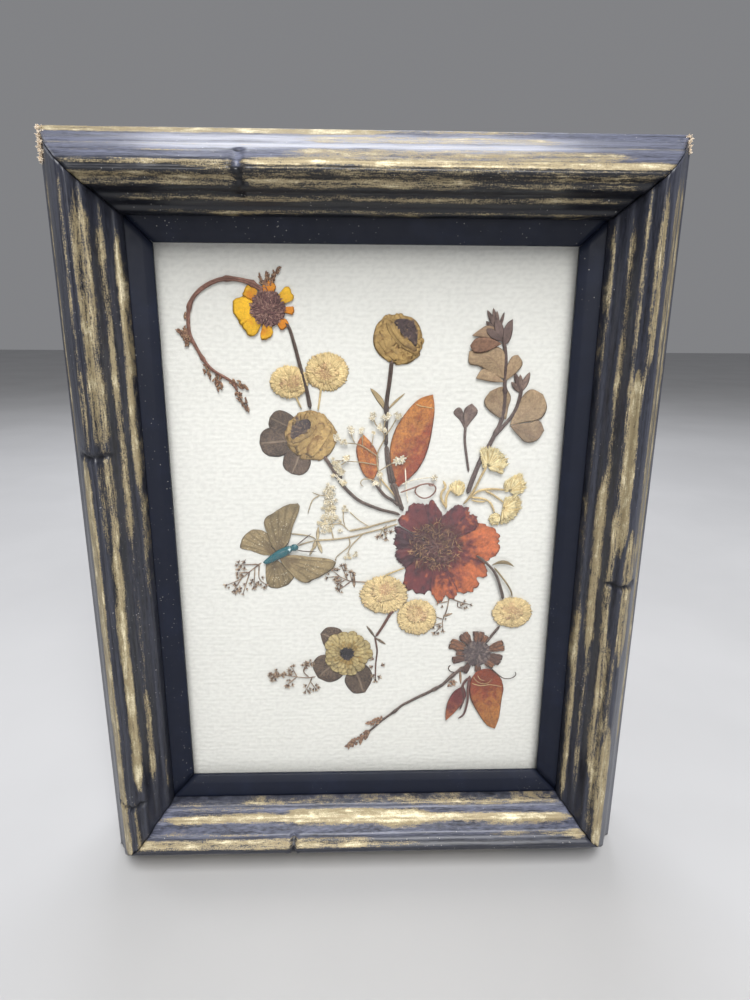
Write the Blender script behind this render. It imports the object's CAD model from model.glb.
"""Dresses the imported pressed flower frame: the dry-brushed moulding, the satin slip, glass,
laid paper and every dried specimen under it.

Specimens are placed in millimetres on the mount: x to the right and y up from the middle of
the opening, and a lift towards the viewer from the paper's face.
"""

import math
import random
from functools import partial

import bmesh
import bpy
import numpy as np
from bpy.props import FloatProperty, FloatVectorProperty, PointerProperty
from bpy.types import Operator, Panel, PropertyGroup
from mathutils import Matrix, Vector, noise


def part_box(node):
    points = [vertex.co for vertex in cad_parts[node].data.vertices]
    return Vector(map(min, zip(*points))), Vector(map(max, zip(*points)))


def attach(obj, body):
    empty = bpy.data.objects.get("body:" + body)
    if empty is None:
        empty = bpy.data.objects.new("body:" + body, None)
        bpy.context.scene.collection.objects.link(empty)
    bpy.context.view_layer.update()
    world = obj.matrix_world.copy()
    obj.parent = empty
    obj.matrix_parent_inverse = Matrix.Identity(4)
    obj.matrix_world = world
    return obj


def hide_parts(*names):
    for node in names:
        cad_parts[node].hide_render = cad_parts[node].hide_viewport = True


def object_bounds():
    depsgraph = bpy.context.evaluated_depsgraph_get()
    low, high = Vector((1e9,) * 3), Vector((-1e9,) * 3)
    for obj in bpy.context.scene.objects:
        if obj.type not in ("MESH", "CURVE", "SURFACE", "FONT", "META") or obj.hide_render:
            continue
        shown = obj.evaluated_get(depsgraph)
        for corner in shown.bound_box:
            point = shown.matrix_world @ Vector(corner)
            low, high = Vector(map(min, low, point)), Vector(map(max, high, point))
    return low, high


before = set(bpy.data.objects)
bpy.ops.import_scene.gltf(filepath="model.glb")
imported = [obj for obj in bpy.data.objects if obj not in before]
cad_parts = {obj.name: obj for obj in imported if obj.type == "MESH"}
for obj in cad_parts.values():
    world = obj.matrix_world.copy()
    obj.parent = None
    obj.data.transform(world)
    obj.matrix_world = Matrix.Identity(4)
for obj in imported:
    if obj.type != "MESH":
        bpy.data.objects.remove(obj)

bl_info = {
    "name": "Pressed Flower Frame",
    "version": (1, 0, 0),
    "blender": (4, 5, 0),
    "location": "View3D > Sidebar > Pressed Flowers",
    "description": "Builds the finish and the dried specimens of a pressed flower frame",
    "category": "Object",
}

MM = 0.001
CAD_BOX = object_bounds()
PAPER_LOW, PAPER_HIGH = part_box("mount_paper")
PAPER_FACE = PAPER_LOW.y
CENTRE_HEIGHT = (PAPER_LOW.z + PAPER_HIGH.z) / 2
ROOM = (PAPER_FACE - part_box("glass")[1].y) / MM      # from the paper to the back of the glass
WELD = 2e-6
GOLDEN_ANGLE = 2.39996
PAPER_GAP = 0.03        # the least room between a specimen and the paper, in millimetres
GLASS_GAP = 0.04        # and between a specimen and the glass
TISSUE_RELIEF = 0.06 * MM

# Lifts above the paper of what lies under, between and over other specimens
UNDER = 0.12
BETWEEN = 0.6
OVER = 1.05

GREY = (0.5, 0.5, 0.5, 1.0)
LEAF_MASKS = ("across", "along", "tone", "shade")
RAIL_MASKS = ("gold", "rub", "run", "out", "raw")


def linear(red, green, blue):
    """A colour picked by eye, 0 to 255, as linear light."""
    return tuple((c / 255 / 12.92) if c < 11 else ((c / 255 + 0.055) / 1.055) ** 2.4
                 for c in (red, green, blue))


def colour(name, description, *tone):
    """A colour property."""
    return FloatVectorProperty(name=name, description=description, subtype="COLOR", size=3,
                               min=0.0, max=1.0, default=linear(*tone))


def length(name, description, millimetres):
    """A length property, kept in metres."""
    return FloatProperty(name=name, description=description, unit="LENGTH", min=0.0, precision=5,
                         default=millimetres * MM)


class PressedSizes(PropertyGroup):
    """Sizes of the relief on the moulding, the paper and the specimens"""
    reed_wander: length("Reed Wander", "How far the carved reeds stray from a straight line", 0.16)
    station_step: length("Station Step", "Distance between two rings of a rail's mesh", 1.1)
    notch_depth: length("Notch Depth", "Depth of the bamboo-like cuts across the reeds", 1.5)
    notch_reach: length("Notch Reach", "Half the width of a cut", 0.75)
    slip_edge: length("Slip Edge", "Radius worn on the slip's corners", 0.25)
    rib_pitch: length("Rib Pitch", "Distance between two ribs of the laid paper", 1.0)
    rib_height: length("Rib Height", "Height of the laid paper's ribs", 0.13)


class PressedColours(PropertyGroup):
    """Colours of the finishes"""
    black_paint: colour("Black Paint", "The moulding's black paint", 12, 14, 21)
    rubbed_paint: colour("Rubbed Paint", "Black paint rubbed grey on the upper faces", 112, 116, 136)
    gold: colour("Gold", "Gold brushed over the reeds", 157, 143, 112)
    bright_gold: colour("Bright Gold", "Gold where it lies thick", 250, 240, 206)
    raw_wood: colour("Raw Wood", "Torn wood at the upper corners", 236, 222, 202)
    satin: colour("Satin", "The slip", 15, 21, 37)
    paper: colour("Paper", "The laid paper", 229, 229, 225)
    card: colour("Card", "The backing board", 158, 140, 112)
    yellow_petal: colour("Yellow Petal", "Petals of the yellow flower", 230, 180, 38)
    orange_petal: colour("Orange Petal", "Darker petals of the yellow flower", 206, 128, 30)
    mauve_fibre: colour("Mauve Fibre", "Disc of the yellow flower", 120, 86, 84)
    red_stem: colour("Red Stem", "The arched stem", 150, 110, 96)
    dark_stem: colour("Dark Stem", "Stems of the bud flowers", 100, 82, 74)
    green_stem: colour("Green Stem", "The red flower's thin stems", 140, 124, 92)
    cream_petal: colour("Cream Petal", "Everlasting blooms", 228, 204, 152)
    cream_heart: colour("Cream Heart", "Middles of the everlasting blooms", 188, 152, 120)
    pale_floret: colour("Pale Floret", "Florets at the right", 232, 218, 172)
    bud_petal: colour("Bud Petal", "Petals of the bud flowers", 176, 147, 94)
    bud_heart: colour("Bud Heart", "Dark middles of the bud flowers", 78, 64, 64)
    brown_leaf: colour("Brown Leaf", "Round brown leaves", 98, 81, 69)
    orange_leaf: colour("Orange Leaf", "Large lance leaves", 182, 118, 56)
    rust_leaf: colour("Rust Leaf", "Red side of the lance leaves", 140, 62, 34)
    mauve_leaf: colour("Mauve Leaf", "Dark leaves of the right sprig", 104, 87, 82)
    tan_leaf: colour("Tan Leaf", "Pale leaves of the right sprig", 166, 143, 115)
    maroon_petal: colour("Maroon Petal", "Dark petals of the red flower", 108, 48, 52)
    coral_petal: colour("Coral Petal", "Bright petals of the red flower", 206, 112, 66)
    gold_fibre: colour("Gold Fibre", "Pale threads in the red flower", 192, 150, 104)
    dark_fibre: colour("Dark Fibre", "Dark threads in the red flower", 104, 68, 66)
    olive_wing: colour("Olive Wing", "The butterfly's wings", 150, 132, 98)
    wing_root: colour("Wing Root", "Darker scales by the body", 104, 88, 64)
    teal: colour("Teal", "The butterfly's painted body", 22, 92, 102)
    white_floret: colour("White Floret", "Tiny white florets", 242, 236, 220)
    pale_twig: colour("Pale Twig", "Twigs of the fine sprays", 172, 156, 126)
    seed: colour("Seed", "Seeds and their stalks", 100, 76, 64)
    buff_petal: colour("Buff Petal", "Lower left flower", 184, 166, 118)
    black_heart: colour("Black Heart", "Middle of the lower left flower", 32, 30, 38)
    purple_petal: colour("Purple Petal", "Lower right flower", 102, 74, 64)
    grey_fibre: colour("Grey Fibre", "Disc of the lower right flower", 98, 86, 88)


# ---- lines

def smooth_line(points, count, closed=False):
    """count + 1 places evenly spread on a Catmull-Rom curve through the points."""
    points = np.array(points, float)
    total = len(points)
    spans = total if closed else total - 1
    t = np.linspace(0, 1, 12, endpoint=False)[:, None]
    dense = []
    for span in range(spans):
        around = [(span + k) % total if closed else min(max(span + k, 0), total - 1) for k in (-1, 0, 1, 2)]
        p0, p1, p2, p3 = points[around]
        dense.append(((-t + 2 * t**2 - t**3) * p0 + (2 - 5 * t**2 + 3 * t**3) * p1
                      + (t + 4 * t**2 - 3 * t**3) * p2 + (t**3 - t**2) * p3) / 2)
    dense.append(points[:1] if closed else points[-1:])
    dense = np.concatenate(dense)
    reach = np.concatenate([[0], np.cumsum(np.linalg.norm(np.diff(dense, axis=0), axis=1))])
    even = np.linspace(0, reach[-1], count + 1)
    return np.stack([np.interp(even, reach, dense[:, axis]) for axis in range(dense.shape[1])], axis=1)


def line_length(points):
    """Length of the broken line through the points."""
    return float(np.linalg.norm(np.diff(np.array(points, float), axis=0), axis=1).sum())


def turned(angle, reach=1.0):
    """A step of that reach in the direction of the angle."""
    return Vector((math.cos(angle), math.sin(angle))) * reach


def spot(x, y, lift):
    """A place over the mount, in millimetres, as a world point kept between paper and glass."""
    lift = min(max(lift, PAPER_GAP), ROOM - GLASS_GAP)
    return Vector((x * MM, PAPER_FACE - lift * MM, CENTRE_HEIGHT + y * MM))


def ripple(x, y, seed, size):
    """Smooth noise over the mount, about -1 to 1, with lumps of that size in millimetres."""
    return noise.noise(Vector((x / size, y / size, seed * 7.3)))


# ---- pieces in the making

class Piece:
    """A mesh in the making whose points carry the masks that its finish reads."""

    def __init__(self, name, masks=LEAF_MASKS):
        self.name = name
        self.shape = bmesh.new()
        self.masks = [self.shape.verts.layers.float.new(mask) for mask in masks]
        self.dice = random.Random(name)
        self.vary = self.dice.uniform

    def patch(self, cells, place, finish=0):
        """Add a grid of cells; place(u, v) gives each point and its masks. Its seams are welded."""
        made = bmesh.ops.create_grid(self.shape, x_segments=cells[0], y_segments=cells[1], size=0.5)["verts"]
        for vert in made:
            point, values = place(vert.co.x + 0.5, vert.co.y + 0.5)
            vert.co = point
            for mask, value in zip(self.masks, values):
                vert[mask] = value
        for face in {face for vert in made for face in vert.link_faces}:
            face.material_index = finish
            face.smooth = True
        bmesh.ops.remove_doubles(self.shape, verts=made, dist=WELD)

    def surface(self, where, lift, cells=(6, 12), thick=0.09, finish=0, tone=0.0, curl=0.0, crinkle=0.06,
                lump=2.2, pleats=0, pleat=0.05, rib=0.0, shade=None):
        """Add a thin petal; where(s, v) is its place across, -1 to 1, and along, 0 to 1.

        Its front and back meet in thin edges.
        """
        seed = self.dice.random()
        shade = self.dice.random() if shade is None else shade
        low, high = lift if isinstance(lift, tuple) else (lift, lift)

        def place(u, v):
            front = u <= 0.5
            s = 4 * u - 1 if front else 3 - 4 * u
            x, y = where(s, v)
            rise = low + (high - low) * v + curl * s * s
            fold = pleat * math.cos(math.pi * pleats * s) * bool(pleats)
            rise += crinkle * ripple(x, y, seed, lump) + fold
            rise += rib * math.exp(-(s / 0.12) ** 2)
            if front:
                rise += thick * math.sqrt(max(1 - s * s, 0)) * min(1.0, 9 * v, 9 * (1 - v))
            return spot(x, y, rise), (s, v, tone(s, v, x, y) if callable(tone) else tone, shade)

        self.patch((2 * cells[0], cells[1]), place, finish)

    def blade(self, left, right, lift, tip=None, **form):
        """Add a leaf or petal between two edge lines that run from its base to its tip.

        tip(s) shortens it across its width.
        """
        rows = np.linspace(0, 1, len(left))

        def where(s, v):
            reach = v * (tip(s) if tip else 1.0)
            start, end = (np.array([np.interp(reach, rows, line[:, k]) for k in (0, 1)])
                          for line in (left, right))
            return start + (end - start) * (s + 1) / 2

        self.surface(where, lift, **form)

    def fan(self, hub, rim, lift, ragged=0.03, cells=(12, 16), **form):
        """Add a petal that opens from a hub to a rim line with a ragged edge."""
        rim = smooth_line(rim, 40)
        hub = np.array(hub, float)
        seed = self.dice.random() * 90

        def where(s, v):
            at = (s + 1) * 20
            edge = np.array([np.interp(at, range(41), rim[:, k]) for k in (0, 1)])
            wide = noise.noise(Vector((at * 0.55, seed, 0)))
            tear = ragged * (wide + 0.6 * noise.noise(Vector((at * 1.6, seed, 5))))
            return hub + (edge - hub) * v * (1 + tear * v)

        self.surface(where, lift, cells=cells, **form)

    def petal(self, base, tip, width, lift=(BETWEEN, BETWEEN + 0.2), belly=0.6, bend=0.0, narrow=0.25,
              blunt=2.4, frill=0.0, notch=0.0, teeth=1.0, **form):
        """Add a petal from base to tip: narrow at its foot, widest at belly, blunt at its tip."""
        base, tip = Vector(base), Vector(tip)
        axis = tip - base
        side = Vector((-axis.y, axis.x)).normalized()
        seed = self.dice.random() * 50
        rows = max(form.get("cells", (6, 12))[1], 6)
        left, right = [], []
        for row in range(rows + 1):
            v = row / rows
            if v < belly:
                half = narrow + (1 - narrow) * math.sin(math.pi / 2 * v / belly)
            else:
                half = (1 - ((v - belly) / (1 - belly)) ** blunt) ** (1 / blunt)
            middle = base + axis * v + side * (bend * 4 * v * (1 - v))
            for line, sign in ((left, 1), (right, -1)):
                wave = 1 + frill * noise.noise(Vector((v * 5, sign * 3, seed)))
                line.append(middle + side * (sign * width / 2 * half * wave))

        def form_tip(s):
            return 1 - notch * (0.5 + 0.5 * math.cos(math.pi * teeth * s)) * (1 - s * s)

        self.blade(np.array(left), np.array(right), lift, tip=form_tip if notch else None, **form)

    def leaf(self, outline, tip, lift, cells=(14, 26), thick=0.12, **form):
        """Add a leaf whose outline starts at its base, with the outline's point number tip as its tip."""
        left = smooth_line(outline[:tip + 1], cells[1])
        right = smooth_line([outline[0]] + outline[:tip - 1:-1], cells[1])
        self.blade(left, right, lift, cells=cells, thick=thick, **form)

    def pad(self, outline, lift, dome, cells=(36, 7), finish=0, tone=0.0, crinkle=0.05, lump=1.5, flat=0.5,
            shade=None):
        """Add a closed cushion inside an outline, raised by dome in its middle."""
        ring = smooth_line(outline, cells[0], closed=True)
        middle = ring[:-1].mean(axis=0)
        seed = self.dice.random()
        shade = self.dice.random() if shade is None else shade

        def place(u, v):
            front = v <= 0.5
            r = 2 * v if front else 2 - 2 * v
            x, y = middle + (ring[round(u * cells[0])] - middle) * r
            rise = lift
            if front:
                rise += (dome + crinkle * ripple(x, y, seed, lump)) * (1 - r**2.5) ** flat
            value = tone(r, u, x, y) if callable(tone) else tone
            return spot(x, y, rise), (r, u, value, shade)

        self.patch((cells[0], 2 * cells[1]), place, finish)

    def grain(self, centre, size, angle=0.0, slim=0.6, lift=UNDER, high=0.5, cells=(8, 3), **form):
        """Add a seed, bud or grain as a small cushion."""
        along = turned(angle, size)
        across = turned(angle + math.pi / 2, size * slim)
        outline = []
        for k in range(8):
            step = turned(math.tau * k / 8)
            outline.append(Vector(centre) + along * step.x + across * step.y)
        self.pad(outline, lift, high, cells=cells, crinkle=0.02, **form)

    def stem(self, points, width, end=None, lift=UNDER, flat=0.7, sides=8, step=0.9, finish=0, tone=0.0,
             lumps=0.08, knots=(), shade=None):
        """Add a stem along a line, tapering to its end width, with knots at those shares of its length."""
        end = width if end is None else end
        count = max(int(line_length(points) / step), 3)
        line = smooth_line([tuple(p)[:2] for p in points], count)
        runs = np.gradient(line, axis=0)
        runs /= np.maximum(np.linalg.norm(runs, axis=1), 1e-9)[:, None]
        low, high = lift if isinstance(lift, tuple) else (lift, lift)
        total = line_length(line)
        seed = self.dice.random() * 40
        shade = self.dice.random() if shade is None else shade

        def place(u, v):
            index = round(v * count)
            x, y = line[index]
            half = (width + (end - width) * v) / 2
            half *= 1 + lumps * noise.noise(Vector((v * total / 1.7, seed, 0)))
            for knot in knots:
                half *= 1 + 0.55 * math.exp(-((v - knot) * total / 0.7) ** 2)
            tall = half * flat
            half *= 0 if index in (0, count) else 1
            out, up = math.cos(math.tau * u), math.sin(math.tau * u)
            rough = 1 + 0.5 * lumps * noise.noise(Vector((v * total, out * 2, up * 2 + seed)))
            across = Vector((-runs[index][1], runs[index][0])) * (half * out * rough)
            rise = low + (high - low) * v + tall + (tall * up * rough if half else 0)
            return spot(x + across.x, y + across.y, rise), (out, v * total / 8, tone, shade)

        self.patch((sides, count), place, finish)

    def stems(self, rows, taper=0.75, **form):
        """Add stems from rows of their points and their width; each tapers to that share of it."""
        for points, width in rows:
            self.stem(points, width, width * taper, **form)

    def petals(self, rows, **form):
        """Add petals or narrow leaves from rows of their base, tip and width."""
        for base, tip, width in rows:
            self.petal(base, tip, width, **form)

    def place(self, finishes, slot, *nodes):
        """Turn the shape into an object that stands for the CAD nodes and rides with the frame."""
        bmesh.ops.recalc_face_normals(self.shape, faces=self.shape.faces)
        mesh = bpy.data.meshes.new(self.name)
        self.shape.to_mesh(mesh)
        self.shape.free()
        for finish in finishes:
            mesh.materials.append(finish)
        made = bpy.data.objects.new(self.name, mesh)
        bpy.context.scene.collection.objects.link(made)
        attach(made, "root")
        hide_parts(*nodes)
        return made


# ---- node helpers

def node(tree, kind, settings=(), **inputs):
    """Add a node, with its settings, and fill the inputs of those names from values or sockets."""
    made = tree.nodes.new("ShaderNode" + kind)
    for name, value in dict(settings).items():
        setattr(made, name, value)
    wire(tree, made, **inputs)
    return made


def wire(tree, made, **inputs):
    """Fill a node's inputs of those names from values or sockets."""
    for name, value in inputs.items():
        fill(tree, made.inputs[name.replace("_", " ")], value)


def fill(tree, socket, value):
    """Link a socket to another, or give it a value."""
    if isinstance(value, bpy.types.NodeSocket):
        tree.links.new(value, socket)
    elif socket.type == "RGBA" and len(value) == 3:
        socket.default_value = (*value, 1.0)
    else:
        socket.default_value = value


def calc(tree, operation, *values, clamp=False):
    """The result of a Math node."""
    made = node(tree, "Math", {"operation": operation, "use_clamp": clamp})
    for socket, value in zip(made.inputs, values):
        fill(tree, socket, value)
    return made.outputs[0]


def sums(tree):
    """Short calls for the sums that an effect is built from: add, subtract, multiply, multiply and add."""
    return [partial(calc, tree, name) for name in ("ADD", "SUBTRACT", "MULTIPLY", "MULTIPLY_ADD")]


def blend(tree, factor, first, second, mode="MIX"):
    """Two colours mixed by a factor."""
    made = node(tree, "Mix", {"data_type": "RGBA", "blend_type": mode})
    for index, value in ((0, factor), (6, first), (7, second)):
        fill(tree, made.inputs[index], value)
    return made.outputs[2]


def ramp(tree, value, low, high, out_low=0.0, out_high=1.0):
    """A value eased from out_low at low to out_high at high."""
    made = node(tree, "MapRange", {"interpolation_type": "SMOOTHSTEP"})
    for index, item in enumerate((value, low, high, out_low, out_high)):
        fill(tree, made.inputs[index], item)
    return made.outputs[0]


def mask(tree, name):
    """A mask that the mesh carries."""
    return node(tree, "Attribute", {"attribute_name": name}).outputs["Fac"]


def lumps(tree, scale, detail=3.0, vector=None, roughness=0.55):
    """Noise of that many lumps in a metre, or along the given vector."""
    vector = vector or node(tree, "TexCoord").outputs["Object"]
    made = node(tree, "TexNoise", Vector=vector, Scale=scale, Detail=detail, Roughness=roughness)
    return made.outputs[0]


def new_group(name, inputs, outputs):
    """An empty node group with its sockets, and the sockets of its input node."""
    group = bpy.data.node_groups.new(name, "ShaderNodeTree")
    for title, kind, default in inputs:
        socket = group.interface.new_socket(title, in_out="INPUT", socket_type="NodeSocket" + kind)
        socket.default_value = default
    for title, kind in outputs:
        group.interface.new_socket(title, in_out="OUTPUT", socket_type="NodeSocket" + kind)
    return group, group.nodes.new("NodeGroupInput").outputs


def close_group(group, **outputs):
    """Link what the group puts out."""
    end = group.nodes.new("NodeGroupOutput")
    for name, socket in outputs.items():
        group.links.new(socket, end.inputs[name])


def effect_node(tree, name, build, **inputs):
    """A node of the named group, which is built on its first use."""
    group = bpy.data.node_groups.get(name) or build(name)
    return node(tree, "Group", {"node_tree": group}, **inputs)


# ---- shared effects

def build_tissue(name):
    """Dried plant tissue: blotches, a rib, side veins, pleats and darker edges."""
    group, given = new_group(name, [("Colour", "Color", GREY), ("Second Colour", "Color", GREY),
                             ("Dark Colour", "Color", GREY), ("Blotches", "Float", 0.4),
                             ("Rib", "Float", 0.0), ("Veins", "Float", 0.0), ("Vein Count", "Float", 9.0),
                             ("Pleats", "Float", 0.0), ("Pleat Count", "Float", 20.0), ("Edge", "Float", 0.3),
                             ("Grain", "Float", 0.6)], [("Color", "Color"), ("Height", "Float")])
    add, subtract, multiply, scale_add = sums(group)
    across, along = calc(group, "ABSOLUTE", mask(group, "across")), mask(group, "along")
    wide = lumps(group, 420, 3)
    fine = lumps(group, 3200, 2)
    mottle = lumps(group, 1300, 4, roughness=0.7)
    tone = add(mask(group, "tone"), multiply(subtract(wide, 0.5), 1.7))
    base = blend(group, ramp(group, tone, 0.15, 0.85), given["Colour"], given["Second Colour"])
    blotch = multiply(ramp(group, mottle, 0.45, 0.6), given["Blotches"])
    bruise = ramp(group, multiply(tone, -1.0), 0.0, 0.8)
    base = blend(group, calc(group, "MAXIMUM", blotch, bruise), base, given["Dark Colour"])
    rib = ramp(group, across, 0.02, 0.1, 1.0, 0.0)
    slanted = multiply(subtract(along, multiply(across, 0.3)), given["Vein Count"])
    wander = multiply(subtract(wide, 0.5), 1.2)
    phase = calc(group, "FRACT", add(slanted, wander))
    vein = ramp(group, calc(group, "ABSOLUTE", subtract(phase, 0.5)), 0.03, 0.16, 1.0, 0.0)
    veins = add(multiply(rib, given["Rib"]), multiply(vein, given["Veins"]), clamp=True)
    base = blend(group, veins, base, blend(group, 0.75, base, given["Dark Colour"]))
    pale = multiply(rib, calc(group, "MAXIMUM", multiply(given["Rib"], -1.0), 0.0))
    base = blend(group, pale, base, given["Second Colour"])
    fold = calc(group, "SINE", add(multiply(mask(group, "across"), given["Pleat Count"]),
                multiply(wide, 4.0)))
    fold = multiply(fold, given["Pleats"])
    base = blend(group, ramp(group, fold, 0.0, 0.6), base, given["Dark Colour"])
    rim = calc(group, "MAXIMUM", ramp(group, across, 0.8, 1.0), ramp(group, along, 0.9, 1.0))
    rim = multiply(rim, ramp(group, mottle, 0.3, 0.6, 0.2, 1.0))
    base = blend(group, multiply(rim, given["Edge"]), base, given["Dark Colour"])
    light = scale_add(mask(group, "shade"), 0.34, 0.83)
    stain = subtract(lumps(group, 190, 3), 0.5)
    light = scale_add(stain, add(given["Blotches"], 0.6), light)
    speck = scale_add(subtract(fine, 0.5), given["Grain"], light)
    lit = node(group, "CombineColor", Red=speck, Green=speck, Blue=speck).outputs[0]
    base = blend(group, 1.0, base, lit, "MULTIPLY")
    height = add(multiply(fine, 0.4), multiply(mottle, 0.8))
    height = subtract(height, multiply(veins, 0.5))
    height = subtract(height, multiply(fold, 0.4))
    close_group(group, Color=base, Height=height)
    return group


def build_dust(name):
    """Scattered specks and lint, as a mask."""
    group, given = new_group(name, [("Scale", "Float", 300.0), ("Amount", "Float", 0.1)], [("Mask", "Float")])
    _, subtract, multiply, _ = sums(group)
    place = node(group, "TexCoord").outputs["Object"]
    cells = node(group, "TexVoronoi", Vector=place, Scale=given["Scale"])
    size = multiply(lumps(group, 160, 2), given["Amount"])
    spread = ramp(group, lumps(group, 30, 2), 0.5, 0.62, 0.0, 0.6)
    dots = ramp(group, subtract(cells.outputs["Distance"], size), 0.0, 0.05, 1.0, 0.0)
    close_group(group, Mask=multiply(dots, spread))
    return group


def build_gilding(name):
    """Gold dragged over black paint along the rail, with rubbed paint and torn wood."""
    group, given = new_group(name, [("Paint", "Color", GREY), ("Rubbed", "Color", GREY),
                             ("Gold", "Color", GREY), ("Bright Gold", "Color", GREY),
                             ("Wood", "Color", GREY)], [("Color", "Color"), ("Metallic", "Float"),
                             ("Roughness", "Float"), ("Height", "Float")])
    add, subtract, multiply, scale_add = sums(group)
    run, out = mask(group, "run"), mask(group, "out")

    def dragged(long_scale, cross_scale, detail):
        place = node(group, "CombineXYZ", X=multiply(run, long_scale),
                     Y=multiply(out, cross_scale), Z=0.0).outputs[0]
        return lumps(group, 1.0, detail, place, 0.62)

    streak, hair, patchy = dragged(0.05, 1.5, 5), dragged(0.45, 6.5, 4), dragged(0.12, 0.5, 4)
    tooth = lumps(group, 2600, 3, roughness=0.7)
    amount = mask(group, "gold")
    for noise_value, weight in ((streak, 1.5), (hair, 1.4), (tooth, 1.2), (patchy, 1.1)):
        amount = scale_add(subtract(noise_value, 0.5), weight, amount)
    gold = multiply(ramp(group, amount, 0.3, 0.74), ramp(group, mask(group, "gold"), 0.05, 0.3))
    thick = add(patchy, multiply(subtract(amount, 0.6), 0.5))
    gold_tone = blend(group, ramp(group, thick, 0.58, 1.15), given["Gold"], given["Bright Gold"])
    rub = multiply(mask(group, "rub"), ramp(group, add(streak, hair), 0.6, 1.3))
    paint = blend(group, rub, given["Paint"], given["Rubbed"])
    painted = blend(group, gold, paint, gold_tone)
    raw = ramp(group, scale_add(subtract(hair, 0.5), 0.8, mask(group, "raw")), 0.5, 0.6)
    bare = subtract(1.0, raw)
    close_group(group, Color=blend(group, raw, painted, given["Wood"]),
                Metallic=multiply(multiply(gold, 0.25), bare),
                Roughness=scale_add(subtract(hair, 0.5), 0.35, scale_add(gold, 0.16, 0.36)),
                Height=add(multiply(gold, 0.5), add(multiply(streak, 1.5), add(hair, tooth))))
    return group


# ---- finishes

def new_material(name):
    """A material with its tree and its Principled shader, or None for the tree when it is known."""
    known = bpy.data.materials.get(name)
    if known and known.get("made_here"):
        return known, None, None
    made = bpy.data.materials.new(name)
    made["made_here"] = True
    made.use_nodes = True
    return made, made.node_tree, made.node_tree.nodes["Principled BSDF"]


def bump(tree, shader, height, distance, strength=0.6):
    """Give the shader a bump from a height."""
    made = node(tree, "Bump", Height=height, Distance=distance, Strength=strength)
    tree.links.new(made.outputs[0], shader.inputs["Normal"])


def tissue(name, first, second=None, dark=None, roughness=0.72, **look):
    """A dried leaf, petal or stem finish; look fills the tissue group's inputs."""
    made, tree, shader = new_material(name)
    if not tree:
        return made
    effect = effect_node(tree, "Dried Tissue", build_tissue, Colour=tuple(first),
                         Second_Colour=tuple(second or first),
                         Dark_Colour=tuple(dark or [c * 0.35 for c in first]))
    wire(tree, effect, **{title.title(): value for title, value in look.items()})
    wire(tree, shader, Base_Color=effect.outputs["Color"], Roughness=roughness, Specular_IOR_Level=0.3)
    bump(tree, shader, effect.outputs["Height"], TISSUE_RELIEF)
    return made


def gilded_paint(colours):
    made, tree, shader = new_material("brushed_gold_on_black")
    if not tree:
        return made
    effect = effect_node(
        tree, "Dragged Gilding", build_gilding, Paint=tuple(colours.black_paint),
        Rubbed=tuple(colours.rubbed_paint), Gold=tuple(colours.gold), Bright_Gold=tuple(colours.bright_gold),
        Wood=tuple(colours.raw_wood))
    dust = effect_node(tree, "Dust", build_dust, Scale=700.0, Amount=0.13)
    dusty = blend(tree, dust.outputs[0], effect.outputs["Color"], (0.62, 0.6, 0.56))
    wire(tree, shader, Base_Color=dusty, Metallic=effect.outputs["Metallic"],
         Roughness=effect.outputs["Roughness"])
    bump(tree, shader, effect.outputs["Height"], 0.05 * MM, 0.5)
    return made


def black_satin(colours):
    made, tree, shader = new_material("satin_black")
    if not tree:
        return made
    dust = effect_node(tree, "Dust", build_dust, Scale=800.0, Amount=0.14)
    wiped = ramp(tree, lumps(tree, 120, 4), 0.45, 0.75, 0.0, 0.25)
    black = blend(tree, wiped, tuple(colours.satin), tuple(c * 2.6 for c in colours.satin))
    wire(tree, shader, Base_Color=blend(tree, dust.outputs[0], black, (0.5, 0.49, 0.46)),
         Roughness=ramp(tree, lumps(tree, 300, 3), 0.3, 0.7, 0.42, 0.56), Specular_IOR_Level=0.3)
    bump(tree, shader, lumps(tree, 1800, 3), 0.03 * MM, 0.4)
    return made


def clear_glass():
    made, tree, shader = new_material("window_glass")
    if not tree:
        return made
    wire(tree, shader, Base_Color=(0.995, 0.998, 0.99), Transmission_Weight=1.0, IOR=1.45,
         Specular_IOR_Level=0.25, Roughness=ramp(tree, lumps(tree, 60, 3), 0.5, 0.8, 0.0, 0.02))
    path = node(tree, "LightPath").outputs
    through = calc(tree, "MAXIMUM", path["Is Shadow Ray"], path["Is Diffuse Ray"])
    clear = node(tree, "BsdfTransparent", Color=(0.975, 0.975, 0.97))
    mixed = node(tree, "MixShader", Fac=through)
    tree.links.new(shader.outputs[0], mixed.inputs[1])
    tree.links.new(clear.outputs[0], mixed.inputs[2])
    tree.links.new(mixed.outputs[0], tree.nodes["Material Output"].inputs["Surface"])
    return made


def laid_paper(colours):
    made, tree, shader = new_material("laid_white_paper")
    if not tree:
        return made
    pulp, cloud = lumps(tree, 2200, 4, roughness=0.7), lumps(tree, 45, 3)
    rib = ramp(tree, mask(tree, "rib"), 0.0, 0.7, 0.93, 1.0)
    _, subtract, multiply, scale_add = sums(tree)
    light = multiply(rib, scale_add(subtract(pulp, 0.5), 0.1, 1.0))
    light = multiply(light, ramp(tree, cloud, 0.3, 0.7, 0.97, 1.0))
    grey = node(tree, "CombineColor", Red=light, Green=light, Blue=light).outputs[0]
    wire(tree, shader, Base_Color=blend(tree, 1.0, tuple(colours.paper), grey, "MULTIPLY"), Roughness=0.92,
         Specular_IOR_Level=0.2)
    bump(tree, shader, pulp, 0.12 * MM, 0.7)
    return made


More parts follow.
